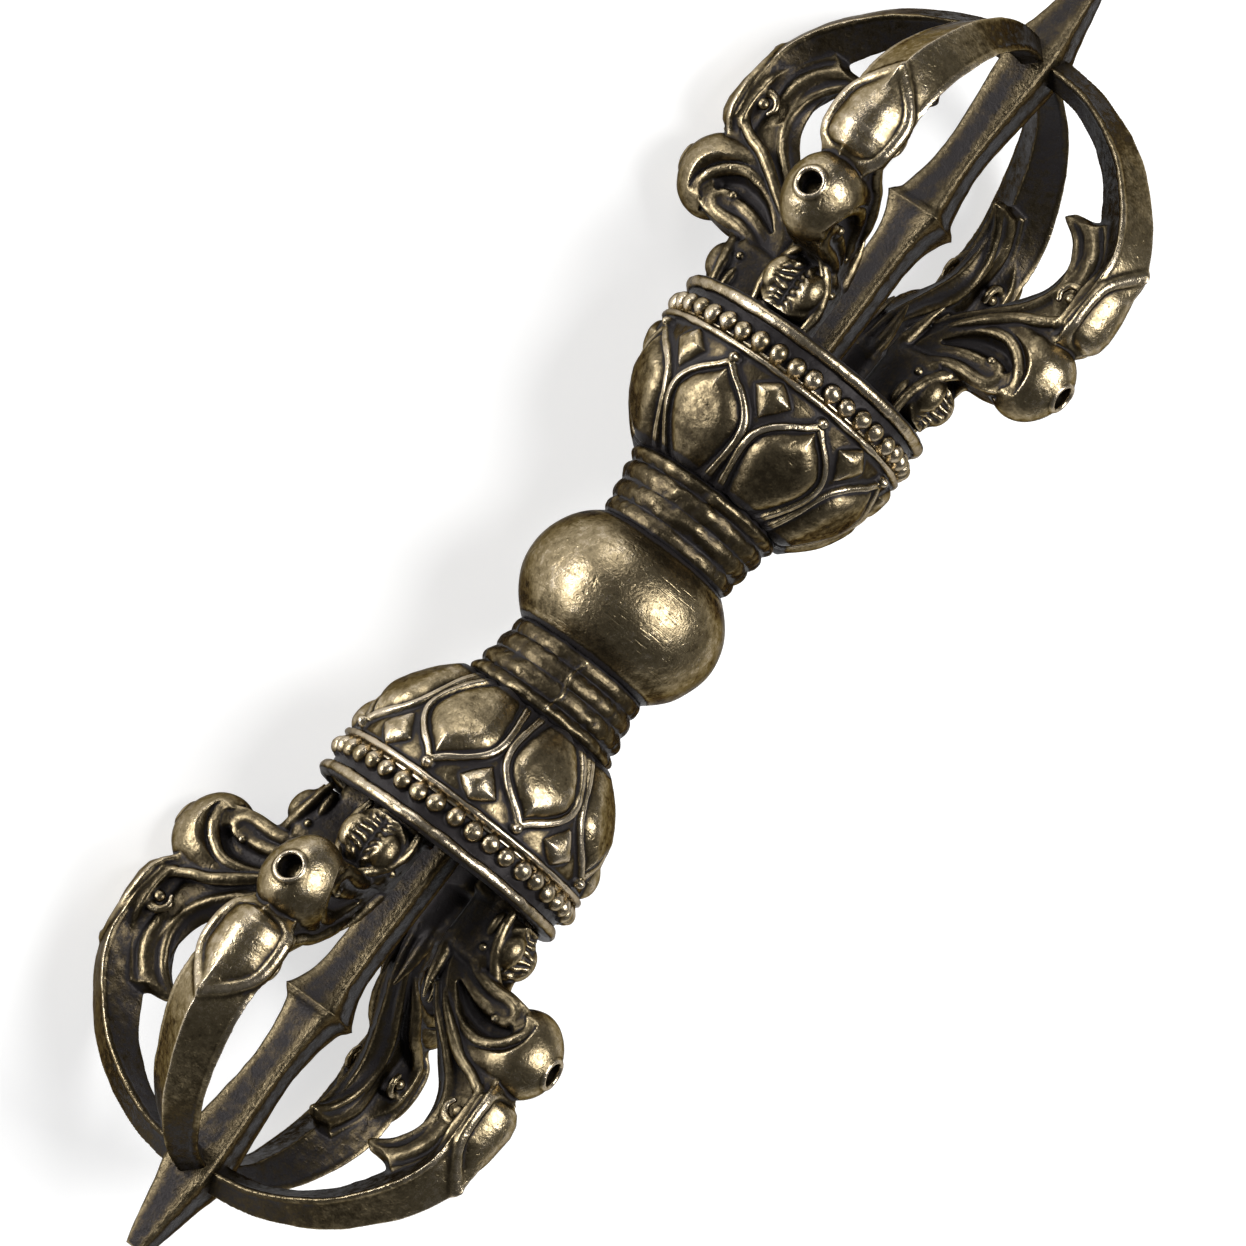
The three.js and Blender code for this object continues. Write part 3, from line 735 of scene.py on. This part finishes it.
# Globe
def globe():
    """An oval ball, turned true at its middle and dented elsewhere."""
    reach = math.acos(COLLAR_X / GLOBE_HALF_LENGTH)
    angle = np.linspace(math.pi - reach, reach, 110)
    oval = np.stack([GLOBE_HALF_LENGTH * np.cos(angle), GLOBE_RADIUS * np.sin(angle) * GLOBE_TRUE], axis=1)
    bore = [(COLLAR_X, COLLAR_BORE), (0.0, COLLAR_BORE), (-COLLAR_X, COLLAR_BORE)]
    places, faces = turned(np.vstack([oval, bore]), 300)
    places = dented(places, faces, GLOBE_DENT, GLOBE_DENT_SIZE, 11)
    most = GLOBE_RADIUS - GLOBE_SLACK
    keep = np.hypot(places[:, 1], places[:, 2]) > most
    scale = most / np.hypot(places[keep, 1], places[keep, 2])
    places[keep, 1:] *= scale[:, None]
    # Darker towards the collars
    near_collar = -GLOBE_DARKENING * step_up(GLOBE_DARKENS_FROM, COLLAR_X, np.abs(places[:, 0]))
    cast("cast_globe", places, faces, WORN, "globe", near_collar, joints=(COLLAR_X,))


# Collar
def collar(side, turn, seam_angle, seed):
    """Four uneven, rounded rings, with the thin seam that the mould left along them, at its own angle."""
    x = np.linspace(COLLAR_X, CUP_X, 110)
    share = (x - COLLAR_X) / (CUP_X - COLLAR_X)
    edges = np.array(COLLAR_EDGES)
    ring = np.clip(np.searchsorted(edges, share, side="right") - 1, 0, len(COLLAR_CRESTS) - 1)
    phase = (share - edges[ring]) / (edges[ring + 1] - edges[ring])
    crest = np.interp(share, (edges[1:] + edges[:-1]) / 2, COLLAR_CRESTS)
    groove = np.interp(share, edges, COLLAR_GROOVES)
    radius = crest - groove * (1 - np.sin(np.pi * np.clip(phase, 0, 1)) ** 0.9)
    outline = np.vstack([np.stack([x, radius], axis=1), [(CUP_X, COLLAR_BORE), (COLLAR_X, COLLAR_BORE)]])

    def seam(x, angle, radius, _):
        middle = math.radians(seam_angle) + SEAM_WANDER * np.sin(2.3 * x)
        away = np.abs((angle - middle + np.pi) % (2 * np.pi) - np.pi) * radius
        return SEAM_HEIGHT * np.exp(-(away / SEAM_WIDTH) ** 2) * (radius > COLLAR_BORE + 0.1)

    places, faces = turned(outline, 320, seam)
    places = dented(turn(places), faces, COLLAR_DENT, COLLAR_DENT_SIZE, seed)
    cast(f"cast_{side}_collar", places, faces, DULL, f"{side}_collar", joints=(COLLAR_X, CUP_X))


# Lotus cup
def cup_radius(x):
    """Radius of the bare bowl, under its petals."""
    share = np.clip((x - CUP_X) / (RIM_X - CUP_X), 0, 1)
    return CUP_NECK + (CUP_MOUTH - CUP_NECK) * (1 - (1 - share) ** CUP_CURVE)


def petal_outline(length_at):
    """Half of a petal and its mirror, by distance up the bowl and distance round it."""
    half = []
    for share, fill in smooth(PETAL_HALF_SHARES, 5):
        x = CUP_X + share * (PETAL_TIP_X - CUP_X)
        half.append((length_at(x) + min(x - CUP_X, 0), fill * cup_radius(x) * np.pi / PETALS))
    half = np.array(half)
    return np.vstack([half, half[::-1] * np.array([1, -1])])


def petal_relief(length_at):
    """The height of the lotus petals over the bowl."""
    outline = petal_outline(length_at)
    tip, bud_at = length_at(PETAL_TIP_X), length_at(BUD_X)

    def relief(x, angle, radius, length):
        pitch = 2 * np.pi / PETALS
        near = (angle + pitch / 2) % pitch - pitch / 2
        round_way = near * radius
        inside = depth_inside(outline, length, round_way)
        border = PETAL_BORDER * np.exp(-((inside - PETAL_BORDER_IN) / PETAL_BORDER_HALF) ** 4)
        border = border - BORDER_GROOVE * np.exp(-((inside - BORDER_GROOVE_IN) / BORDER_GROOVE_HALF) ** 2)
        filled = inside - PETAL_FOOT * np.exp(-length / PETAL_FOOT_LENGTH)
        rise = np.clip((filled - PETAL_BOSS_FROM) / PETAL_BOSS_RISE, 0, 1)
        boss = PETAL_BOSS * (1 - (1 - rise) ** 2.6)
        floor = PETAL_FLOOR * step_up(0.0, 0.3, inside)
        bead_gap = np.hypot(length - tip, round_way)
        bead = TIP_BEAD_HEIGHT * np.sqrt(np.clip(1 - (bead_gap / TIP_BEAD_RADIUS) ** 2, 0, 1))
        apart = (pitch / 2 - np.abs(near)) * radius
        up = length - bud_at
        size = np.abs(up) / np.where(up < 0, BUD_TO_NECK, BUD_TO_RIM)
        size = size ** 1.1 + (apart / BUD_HALF_WIDTH) ** 1.1
        bud = BUD_HEIGHT * (1 - np.clip(size, 0, 1) ** 2.2) ** 0.8
        ring = MOUTH_RING_HEIGHT * np.exp(-((x - MOUTH_RING_X) / MOUTH_RING_HALF) ** 4)
        lift = np.maximum.reduce([border, boss, floor, bead, bud * (inside < 0.1), ring])
        outside = (x > CUP_X + 0.02) & (x < RIM_X - 0.02) & (radius >= cup_radius(x) - 0.05)
        return lift * outside * step_up(CUP_X - 0.3, CUP_X + 0.5, x)

    return relief


def lotus_cup():
    """A bowl with a ring of petals outside, and a stepped bore inside for the prong seat."""
    x = CUP_X + (RIM_X - CUP_X) * np.linspace(0, 1, 150) ** 1.25
    bowl = np.stack([x, cup_radius(x)], axis=1)
    lengths = length_along(bowl)
    inner = [(RIM_X, CUP_BORE), (SEAT_TOP, CUP_POCKET), (SEAT_TOP - SEAT_THICK, CUP_POCKET),
             (SEAT_TOP - SEAT_THICK, COLLAR_BORE), (CUP_X, COLLAR_BORE)]
    relief = petal_relief(lambda at: np.interp(at, x, lengths))
    places, faces = turned(np.vstack([bowl, inner]), 630, relief)
    # The left cup gets the lighter brass: more rubbed, and partly a painted highlight where its bosses face
    # the lamp
    both_ends("lotus_cup", places, faces, (AGED, RUBBED_WITH_PAINTED_HIGHLIGHT), dent=0.05, size=1.3, seed=31,
              joints=(CUP_X,))


# Beaded rim
def beaded_rim():
    """A channel with a bead row standing in it, under a rolled lip."""
    random = np.random.default_rng(7)
    shift, size, height = (random.uniform(-1, 1, BEADS) for _ in range(3))
    arc = np.linspace(0, math.pi, 18)
    lip = np.stack([LIP_X - LIP_THICK / 2 * (1 + np.cos(arc)),
                    LIP_RADIUS - LIP_THICK / 2 + LIP_THICK / 2 * np.sin(arc)], axis=1)
    low = np.stack([np.linspace(RIM_X, LIP_X - LIP_THICK, 26), np.full(26, BEAD_FLOOR)], axis=1)
    inner = np.stack([np.linspace(LIP_X, RIM_X, 6), np.full(6, CUP_BORE)], axis=1)

    def beads(x, angle, radius, _):
        pitch = 2 * np.pi / BEADS
        number = np.floor(angle / pitch).astype(int) % BEADS
        round_way = ((angle / pitch) % 1 - 0.5) * pitch * BEAD_ROW + BEAD_SHIFT * shift[number]
        own = BEAD_RADIUS * (1 + BEAD_UNEVEN * size[number])
        gap = np.hypot(x - BEAD_X - BEAD_UNEVEN * height[number], round_way)
        rise = np.sqrt(np.clip(own ** 2 - gap ** 2, 0, None)) + BEAD_ROW - BEAD_FLOOR
        in_row = (gap < own) & (radius > BEAD_FLOOR - 0.01) & (x < LIP_X - LIP_THICK + 0.01)
        return np.where(in_row, rise, 0.0)

    places, faces = turned(np.vstack([low, lip, inner]), 1200, beads)
    on_lip = step_up(LIP_X - LIP_THICK - 0.1, LIP_X - LIP_THICK + 0.1, places[:, 0])
    channel = step_up(BEAD_FLOOR + 0.45, BEAD_FLOOR + 0.1, np.hypot(places[:, 1], places[:, 2]))
    reach = LIP_WEAR * on_lip - CHANNEL_DIRT * channel * (1 - on_lip)
    both_ends("beaded_rim", places, faces, (AGED, AGED), dent=0.06, size=1.1, seed=41,
              joints=(LIP_X,), reach=reach)


# Centre prong
def centre_prong():
    """A square bar with its corners between the outer prongs, a creased knot, a waist and a tapered tip."""
    profile = smooth(CENTRE_PROFILE, 24)
    profile = profile[np.concatenate([[True], np.diff(profile[:, 0]) > 1e-4])]
    height, half = profile[:, 0], profile[:, 1]
    half = half + KNOT_CREASE * np.exp(-np.abs(height - KNOT_HEIGHT) / KNOT_CREASE_LENGTH)
    per_side = 12
    side = np.linspace(0, 1, per_side, endpoint=False)
    rings = []
    for h, reach in zip(height, half):
        points = []
        for corner in range(4):
            a, b = corner * np.pi / 2, (corner + 1) * np.pi / 2
            start = np.array([-math.sin(a), math.cos(a)])
            end = np.array([-math.sin(b), math.cos(b)])
            points += [start + (end - start) * s for s in side]
        points = np.array(points)
        size = np.abs(points).sum(axis=1)
        from_edge = 1 - np.abs(points).max(axis=1)
        sharp = 1 - CENTRE_EDGE / reach * np.exp(-(from_edge / CENTRE_EDGE_SHARE) ** 2)
        points = points / size[:, None] * (reach * sharp)[:, None]
        rings.append(np.column_stack([np.full(len(points), LIP_X + h), points]))
    around = 4 * per_side
    places = np.vstack(rings)
    faces = ring_faces(len(rings), around, False)
    first, last = np.arange(around), np.arange(around) + (len(rings) - 1) * around
    places = np.vstack([places, places[first].mean(axis=0), places[last].mean(axis=0)])
    low, high = len(places) - 2, len(places) - 1
    caps = []
    for i in range(0, around, 2):
        caps.append((low, first[(i + 2) % around], first[i + 1], first[i]))
        caps.append((high, last[i], last[i + 1], last[(i + 2) % around]))
    faces = np.vstack([faces, caps])
    both_ends("centre_prong", places, faces, (DARK, DARK), dent=0.025, size=0.9, seed=51)


# Outer prong
def tube(h, r, t, path, lift, radius):
    """A rounded cord of metal along a path on the cheek, lift away from the prong's middle plane."""
    gap, share, _ = along(smooth(path, 5), h[:, :, 0], r[:, :, 0])
    lift, radius = spread(lift, share), spread(radius, share)
    return np.sqrt(gap[:, :, None] ** 2 + (t - lift[:, :, None]) ** 2) - radius[:, :, None]


def rib_field(h, r, t):
    """The arched rib: a kite in section, with a thin cord along both of its side edges."""
    rows = smooth(RIB_ROWS, 8)
    gap, share, side = along(rows, h[:, :, 0], r[:, :, 0])
    lengths = length_along(rows[:, :2])
    ridge, keel, wide = (np.interp(share, lengths / lengths[-1], rows[:, i])[:, :, None] for i in (2, 3, 4))
    out = (gap * side)[:, :, None]
    deep = np.where(out > 0, ridge, keel)
    kite = (t / wide + np.abs(out) / deep - 1) / np.sqrt(1 / wide ** 2 + 1 / deep ** 2)
    edge = np.sqrt(out ** 2 + (t - wide + RIB_EDGE) ** 2) - RIB_EDGE
    return blend(kite - 0.06, edge, 0.12)


def shield_edge(h):
    """Half the width of the teardrop's margin at a height."""
    edge = smooth(SHIELD_EDGE, 6)
    return np.interp(h, edge[:, 0], edge[:, 1], left=0, right=0)


def drop_field(h, r, t):
    """The teardrop: a full head towards the ball, and a ridge that runs out to its point."""
    start, end = DROP_TOP[0][0], DROP_TOP[-1][0]
    head = np.sqrt(np.clip(1 - (1 - np.clip((h - start) / DROP_HEAD, 0, 1)) ** 2, 0, 1))
    wide = np.clip(np.minimum(shield_edge(h) - 0.2, DROP_HALF_WIDTH * head), 0.05, None)
    top = np.interp(h, *np.array(DROP_TOP).T) - DROP_BASE
    across, up = t / wide, np.maximum(r - DROP_BASE, 0) / top
    size = (across ** DROP_FACET + up ** DROP_FACET) ** (1 / DROP_FACET)
    body = (size - 1) * np.minimum(wide, top)
    return np.maximum(body, np.maximum(np.maximum(start - h, h - end), DROP_BASE - 0.6 - r))


def shield_field(h, r, t):
    """The pointed margin round the teardrop."""
    edge = smooth(SHIELD_EDGE, 6)
    outline = np.vstack([edge, edge[::-1] * np.array([1, -1])])
    flat_h, flat_t = plane(h[:, 0, :], t[:, 0, :])
    inside = depth_inside(outline, flat_h, flat_t)[:, None, :]
    line = along(edge, flat_h, flat_t)[0][:, None, :]
    crest = np.interp(h, *np.array(SHIELD_TOP).T) - SHIELD_FALL * t
    over = r - crest + SHIELD_SINK
    slab = np.maximum(carve(-inside, over, 0.3), SHIELD_FLOOR - r)
    bead = np.sqrt((line - SHIELD_BEAD_IN) ** 2 + over ** 2) - SHIELD_BEAD
    return blend(slab, bead, 0.35)


def cheek_thickness(h, r):
    """Half the thickness of the cheek: a bevelled leaf, a thicker web, and a recess under the hood."""
    gap, share, side = along(smooth(WEB_EDGE, 5), h, r)
    web, leaf = spread(WEB_THICK, share), spread(LEAF_THICK, share)
    thick = leaf + (web - leaf) * step_up(-0.15, 0.15, gap * side)
    gap, share, _ = along(smooth(RECESS, 5), h, r)
    thick = thick - (thick - RECESS_THICK) * np.exp(-(gap / spread(RECESS_HALF_WIDTH, share)) ** 4)
    from_tip = np.hypot(h - LEAF_TIP[0], r - LEAF_TIP[1])
    thick = np.minimum(thick, LEAF_EDGE_THIN + LEAF_BEVEL * along(smooth(LEAF_INNER, 6), h, r)[0])
    thick = np.minimum(thick, LEAF_TIP_THIN + LEAF_TIP_TAPER * from_tip)
    return np.minimum(thick, LEAF_BACK_THIN + LEAF_BACK_BEVEL * along(smooth(LEAF_BACK, 6), h, r)[0])


def cheek_field(h, r, t):
    """The leaf and the web behind it, with the scrolls that stand on them."""
    outline = np.vstack([smooth(part, 6) for part in (LEAF_INNER, LEAF_BACK, CHEEK_OUTER, NECK_OUTER)])
    flat_h, flat_r = plane(h[:, :, 0], r[:, :, 0])
    inside = depth_inside(outline, flat_h, flat_r)
    thick = cheek_thickness(flat_h, flat_r)
    body = carve(-inside[:, :, None], t - thick[:, :, None], 0.15)
    for path, lift, radius, soft in (
        (LEAF_EDGE_LINE, LEAF_EDGE_LIFT, LEAF_EDGE_RADIUS, 0.3),
        (LEAF_BACK_LINE, LEAF_BACK_LIFT, LEAF_BACK_RADIUS, 0.4),
        (STEM, STEM_LIFT, STEM_RADIUS, 0.14),
        (HOOK, HOOK_LIFT, HOOK_RADIUS, 0.2),
        (FOLD, FOLD_LIFT, FOLD_RADIUS, 0.2),
        (EAR, EAR_LIFT, EAR_RADIUS, 0.2),
    ):
        body = blend(body, tube(h, r, t, path, lift, radius), soft)
    for middle, size in ((STEM_BOSS, STEM_BOSS_RADIUS), (HOOK_BOSS, HOOK_BOSS_RADIUS)):
        body = blend(body, lump(h, r, t, middle, (size, size, size)), 0.08)
    return body


def ball_field(h, r, t):
    """The egg with its tail, set back behind the groove beside its hood."""
    half = (np.where(h < BALL[0], BALL_TO_LIP, BALL_TO_TIP), BALL_DEEP, BALL_ACROSS)
    egg = lump(h, r, t, (*BALL, 0.0), half)
    body = blend(egg, tube(h, r, t, BALL_TAIL, TAIL_LIFT, TAIL_RADIUS), 0.5)
    flat_h, flat_r = plane(h[:, :, 0], r[:, :, 0])
    gap, _, side = along(smooth(HOOD, 5), flat_h, flat_r)
    past = (gap * side)[:, :, None]
    beside_hood = GROOVE_THICK + np.sqrt(np.clip((past - GROOVE_WIDTH) / GROOVE_RISE, 0, 1))
    limit = np.where(past > -0.35, beside_hood, RECESS_THICK)
    body = carve(body, t - limit, 0.1)
    away = np.hypot(h - HOLE_HEIGHT, t)
    ring = np.sqrt((away - HOLE_RING) ** 2 + egg ** 2) - HOLE_RING_THICK
    body = blend(body, np.where(r > BALL[1], ring, 9.0), 0.12)
    return blend(body, tube(h, r, t, HOOD, HOOD_LIFT, HOOD_RADIUS), 0.12)


def root_field(h, r, t):
    """The root: a tenon in the cup, and over the lip a grooved ball with lobes and strands."""
    flat_h, flat_r = plane(h[:, :, 0], r[:, :, 0])
    inside = depth_inside(np.array(ROOT_OUTLINE), flat_h, flat_r)
    fall = ROOT_EDGE_FALL * np.exp(-np.maximum(inside, 0) / ROOT_EDGE_WIDTH)
    mound = np.interp(flat_r, ROOT_REACH, ROOT_THICK) - fall
    in_cup = TENON_THICK + TENON_SWELL * step_up(TENON_FOOT, TENON_SHOULDER, flat_h)
    wide = in_cup + (mound - in_cup) * step_up(0.0, 0.6, flat_h)
    body = carve(-inside[:, :, None], t - wide[:, :, None], ROOT_ROUND)
    groove = ROOT_GROOVE * np.exp(-(t / ROOT_GROOVE_HALF) ** 2) * step_up(7.5, 9.2, r) * step_up(0.2, 1.0, h)
    body = blend(body, lump(h, r, t, CHEEK_LOBE, CHEEK_LOBE_HALF), 0.25) + groove
    body = blend(body, tube(h, r, t, ROOT_STRAND, ROOT_STRAND_LIFT, ROOT_STRAND_RADIUS), 0.15)
    body = blend(body, lump(h, r, t, ALMOND, ALMOND_HALF), 0.1)
    return blend(body, lump(h, r, t, ROOT_BEAD, (ROOT_BEAD_RADIUS,) * 3), 0.06)


def prong_field(h, r, t):
    """The whole outer prong, with the blind hole in its ball."""
    body = root_field(h, r, t)
    for part, fillet in ((cheek_field, 0.2), (rib_field, 0.12), (shield_field, 0.4), (drop_field, 0.18),
                         (ball_field, 0.1)):
        body = blend(body, part(h, r, t), fillet)
    hole = np.maximum(np.hypot(h - HOLE_HEIGHT, t) - HOLE_RADIUS, HOLE_FLOOR - r)
    return carve(body, -hole, 0.07)


def skin(field, low, step):
    """The mesh of a field's zero surface: one point in each cell that it crosses, joined by quads."""
    inside = field < 0
    shape = np.array(field.shape) - 1
    corner = [(i >> 2 & 1, i >> 1 & 1, i & 1) for i in range(8)]
    filled = sum(inside[a:a + shape[0], b:b + shape[1], c:c + shape[2]].astype(np.int8) for a, b, c in corner)
    cells = np.argwhere((filled > 0) & (filled < 8))
    value = np.stack([field[cells[:, 0] + a, cells[:, 1] + b, cells[:, 2] + c] for a, b, c in corner], axis=1)
    total = np.zeros((len(cells), 3))
    count = np.zeros(len(cells))
    for i in range(8):
        for j in range(i + 1, 8):
            way = np.array(corner[j]) - np.array(corner[i])
            if np.abs(way).sum() != 1:
                continue
            cross = (value[:, i] < 0) != (value[:, j] < 0)
            part = np.where(cross, value[:, i] / np.where(cross, value[:, i] - value[:, j], 1), 0)
            total += cross[:, None] * (np.array(corner[i]) + part[:, None] * way)
            count += cross
    places = np.array(low) + (cells + total / count[:, None]) * step
    number = np.full(tuple(shape), -1, np.int32)
    number[tuple(cells.T)] = np.arange(len(cells))
    faces = []
    for axis in range(3):
        one, two = [i for i in range(3) if i != axis]
        front = [slice(None)] * 3
        back = [slice(None)] * 3
        front[axis], back[axis] = slice(None, -1), slice(1, None)
        change = inside[tuple(front)].astype(np.int8) - inside[tuple(back)].astype(np.int8)
        edge = np.argwhere(change != 0)
        edge = edge[(edge[:, one] > 0) & (edge[:, two] > 0)
                    & (edge[:, one] < shape[one]) & (edge[:, two] < shape[two])]
        sign = change[tuple(edge.T)]
        quad = []
        for da, db in ((0, 0), (1, 0), (1, 1), (0, 1)):
            at = edge.copy()
            at[:, one] -= da
            at[:, two] -= db
            quad.append(number[tuple(at.T)])
        quad = np.stack(quad, axis=1)
        flip = (sign > 0) if axis != 1 else (sign < 0)
        faces.append(np.where(flip[:, None], quad, quad[:, ::-1]))
    return places, np.vstack(faces)


def outer_prong_shape():
    """Points, faces and normals of the prong that stands straight up, mirrored about its middle plane."""
    h, r, t = (np.arange(low, high, FIELD_STEP) for low, high in zip(FIELD_LOW, FIELD_HIGH))
    field = prong_field(h[:, None, None], r[None, :, None], t[None, None, :])
    field = np.concatenate([field[:, :, :0:-1], field], axis=2)
    places, faces = skin(field, (h[0], r[0], -t[-1]), FIELD_STEP)
    drawn = np.column_stack([places[:, 0] + LIP_X, places[:, 2], places[:, 1]])
    faces = faces[:, ::-1]
    normals = vertex_normals(drawn, faces)
    if np.einsum("ij,ij->", normals, drawn - drawn.mean(axis=0)) < 0:
        faces, normals = faces[:, ::-1], -normals
    return drawn, faces, normals


def toothed(places, normals):
    """The tooth-like ridges between the root's two lobes, and the file marks inside the rib."""
    height, across, reach = places[:, 0] - LIP_X, np.abs(places[:, 1]), places[:, 2]
    teeth = step_up(0.2, 0.8, height) * step_up(4.0, 3.4, height) * step_up(7.6, 8.6, reach)
    teeth = teeth * step_up(1.35, 0.8, across) * step_up(0.05, 0.25, across)
    row = height + 0.5 * across + 0.5 * swell(places, 1.1, 5)
    lift = TEETH * teeth * np.sin(2 * np.pi * row / TOOTH_PITCH)
    inner = step_up(13.0, 15.0, height) * step_up(-0.2, -0.6, normals[:, 2])
    lift = lift + FILE_MARKS * inner * swell(places, 0.5, 6)
    return places + normals * lift[:, None]


def outer_prongs():
    """Four prongs on either end, each with dents of its own."""
    drawn, faces, normals = outer_prong_shape()
    # Lighter towards the outside of the arch and on outward faces, darker on faces towards the axis: partly
    # wear, partly painted shade inside the cage
    reach = WEAR_AND_SHADE_BY_REACH * step_up(WEAR_AND_SHADE_FROM, WEAR_AND_SHADE_TO, drawn[:, 2])
    reach = reach + WEAR_AND_SHADE_OUTWARDS * np.clip(normals[:, 2], -1, 1)
    drawn = toothed(drawn, normals)
    worn = sheltered(drawn, faces, vertex_normals(drawn, faces))
    for (side, turn), first_seed in zip(ENDS, (61, 101)):
        for i in range(PRONGS):
            angle = FIRST_PRONG_ANGLE + i * 2 * np.pi / PRONGS
            x, y, z = dented(drawn, faces, PRONG_DENT, PRONG_DENT_SIZE, first_seed + 7 * i).T
            places = np.column_stack([x, y * math.cos(angle) - z * math.sin(angle),
                                      y * math.sin(angle) + z * math.cos(angle)])
            node = f"{side}_outer_prong_{i + 1}"
            cast(f"cast_{node}", turn(places), faces, PRONG, node, reach, worn)


# Materials of this vajra
WORN = brass("worn brass", wear=0.56, grit=1.0, pits=0.6, mottle=1.1, scratches=0.7)
# A lighter copy of the aged brass for the left cup: more rubbed, and partly a painted highlight where its
# bosses face the lamp
RUBBED_WITH_PAINTED_HIGHLIGHT = brass("rubbed brass with painted highlight", wear=0.58, grit=0.8, pits=0.5, mottle=1.1)
AGED = brass("aged brass", wear=0.44, grit=0.8, pits=0.5)
DULL = brass("dull brass", wear=0.30, grit=0.8, pits=0.5, mottle=0.6, scratches=0.3)
DARK = brass("dark brass", wear=-0.09, grit=2.2, pits=0.9, mottle=0.45)
PRONG = brass("prong brass", wear=0.14, grit=0.8, pits=0.5)


# Camera, floor and light
def photograph_camera():
    """The camera looks at the object as the photograph does."""
    toward = Vector((-math.sin(VIEW_TILT), math.cos(VIEW_TILT) * math.sin(VIEW_LEAN),
                     math.cos(VIEW_TILT) * math.cos(VIEW_LEAN)))
    axis = (Vector((1, 0, 0)) - toward * toward.x).normalized()
    across = toward.cross(axis)
    right = axis * math.cos(VIEW_ROLL) - across * math.sin(VIEW_ROLL)
    up = axis * math.sin(VIEW_ROLL) + across * math.cos(VIEW_ROLL)
    middle = IMAGE_SIDE / 2
    offset = right * (GLOBE_IN_IMAGE[0] - middle) + up * (middle - GLOBE_IN_IMAGE[1])
    target = -offset * (VIEW_DISTANCE / VIEW_FOCAL) * MM
    lens = bpy.data.cameras.new("camera")
    lens.sensor_width = SENSOR
    lens.lens = SENSOR * VIEW_FOCAL / IMAGE_SIDE
    lens.clip_start, lens.clip_end = 0.01, 20
    camera = put_in_scene("camera", lens)
    matrix = Matrix((right, up, toward)).transposed().to_4x4()
    matrix.translation = target + toward * VIEW_DISTANCE * MM
    camera.matrix_world = matrix
    bpy.context.scene.camera = camera


def studio_floor():
    """A plain pale floor, which looks white to the camera and in the metal."""
    places = [(x * FLOOR_HALF, y * FLOOR_HALF, FLOOR_Z * MM) for x, y in ((-1, -1), (1, -1), (1, 1), (-1, 1))]
    mesh = bpy.data.meshes.new("floor")
    mesh.from_pydata(places, [], [(0, 1, 2, 3)])
    floor = put_in_scene("floor", mesh)
    material = bpy.data.materials.new("pale floor")
    material.use_nodes = True
    shader = material.node_tree.nodes["Principled BSDF"]
    shader.inputs["Base Color"].default_value = (FLOOR_GREY, FLOOR_GREY, FLOOR_GREY, 1)
    shader.inputs["Emission Color"].default_value = (1, 1, 1, 1)
    tree = material.node_tree
    ray = tree.nodes.new("ShaderNodeLightPath").outputs
    seen = maths(tree, "MAXIMUM", ray["Is Camera Ray"], ray["Is Glossy Ray"])
    wire(tree, maths(tree, "MULTIPLY", seen, FLOOR_GLOW), shader.inputs["Emission Strength"])
    shader.inputs["Roughness"].default_value = 0.9
    shader.inputs["Specular IOR Level"].default_value = 0.1
    mesh.materials.append(material)


def soft_box(name, azimuth, elevation, distance, wide, tall, power, spin=0.0):
    """A rectangular lamp that faces the object, from a direction given in degrees."""
    turn, rise = math.radians(azimuth), math.radians(elevation)
    away = Vector((math.cos(rise) * math.cos(turn), math.cos(rise) * math.sin(turn), math.sin(rise)))
    lamp = bpy.data.lights.new(name, "AREA")
    lamp.shape = "RECTANGLE"
    lamp.size = wide
    lamp.size_y = tall
    lamp.energy = power
    place = put_in_scene(name, lamp)
    place.location = away * distance
    place.rotation_mode = "QUATERNION"
    place.rotation_quaternion = (-away).to_track_quat("-Z", "Y") @ Quaternion((0, 0, 1), math.radians(spin))


def studio_world():
    """White low round the object, dimmer overhead."""
    world = bpy.data.worlds.new("studio")
    bpy.context.scene.world = world
    world.use_nodes = True
    tree = world.node_tree
    sky = tree.nodes["Background"]
    way = tree.nodes.new("ShaderNodeTexCoord").outputs["Generated"]
    split = tree.nodes.new("ShaderNodeSeparateXYZ")
    wire(tree, way, split.inputs["Vector"])
    strength = between(tree, split.outputs["Z"], 0.0, 0.5, LIGHT_LOW, LIGHT_OVERHEAD)
    wire(tree, strength, sky.inputs["Strength"])
    sky.inputs["Color"].default_value = (1, 1, 1, 1)


globe()
collar("right", as_drawn, seam_angle=163, seed=21)
collar("left", half_turn, seam_angle=18, seed=71)
lotus_cup()
beaded_rim()
centre_prong()
outer_prongs()
for side, _ in ENDS:
    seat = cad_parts[f"{side}_prong_seat"].data
    seat.materials.clear()
    seat.materials.append(DARK)

photograph_camera()
studio_floor()
soft_box("side soft box", azimuth=107, elevation=7.5, distance=0.5, wide=0.44, tall=0.15, power=2.9)
soft_box("top soft box", azimuth=-48, elevation=62, distance=0.6, wide=0.24, tall=0.46, power=5.0, spin=-38.5)
soft_box("fill soft box", azimuth=48, elevation=16, distance=0.6, wide=0.2, tall=0.26, power=1.0)
studio_world()
bpy.context.scene.view_settings.view_transform = "Standard"
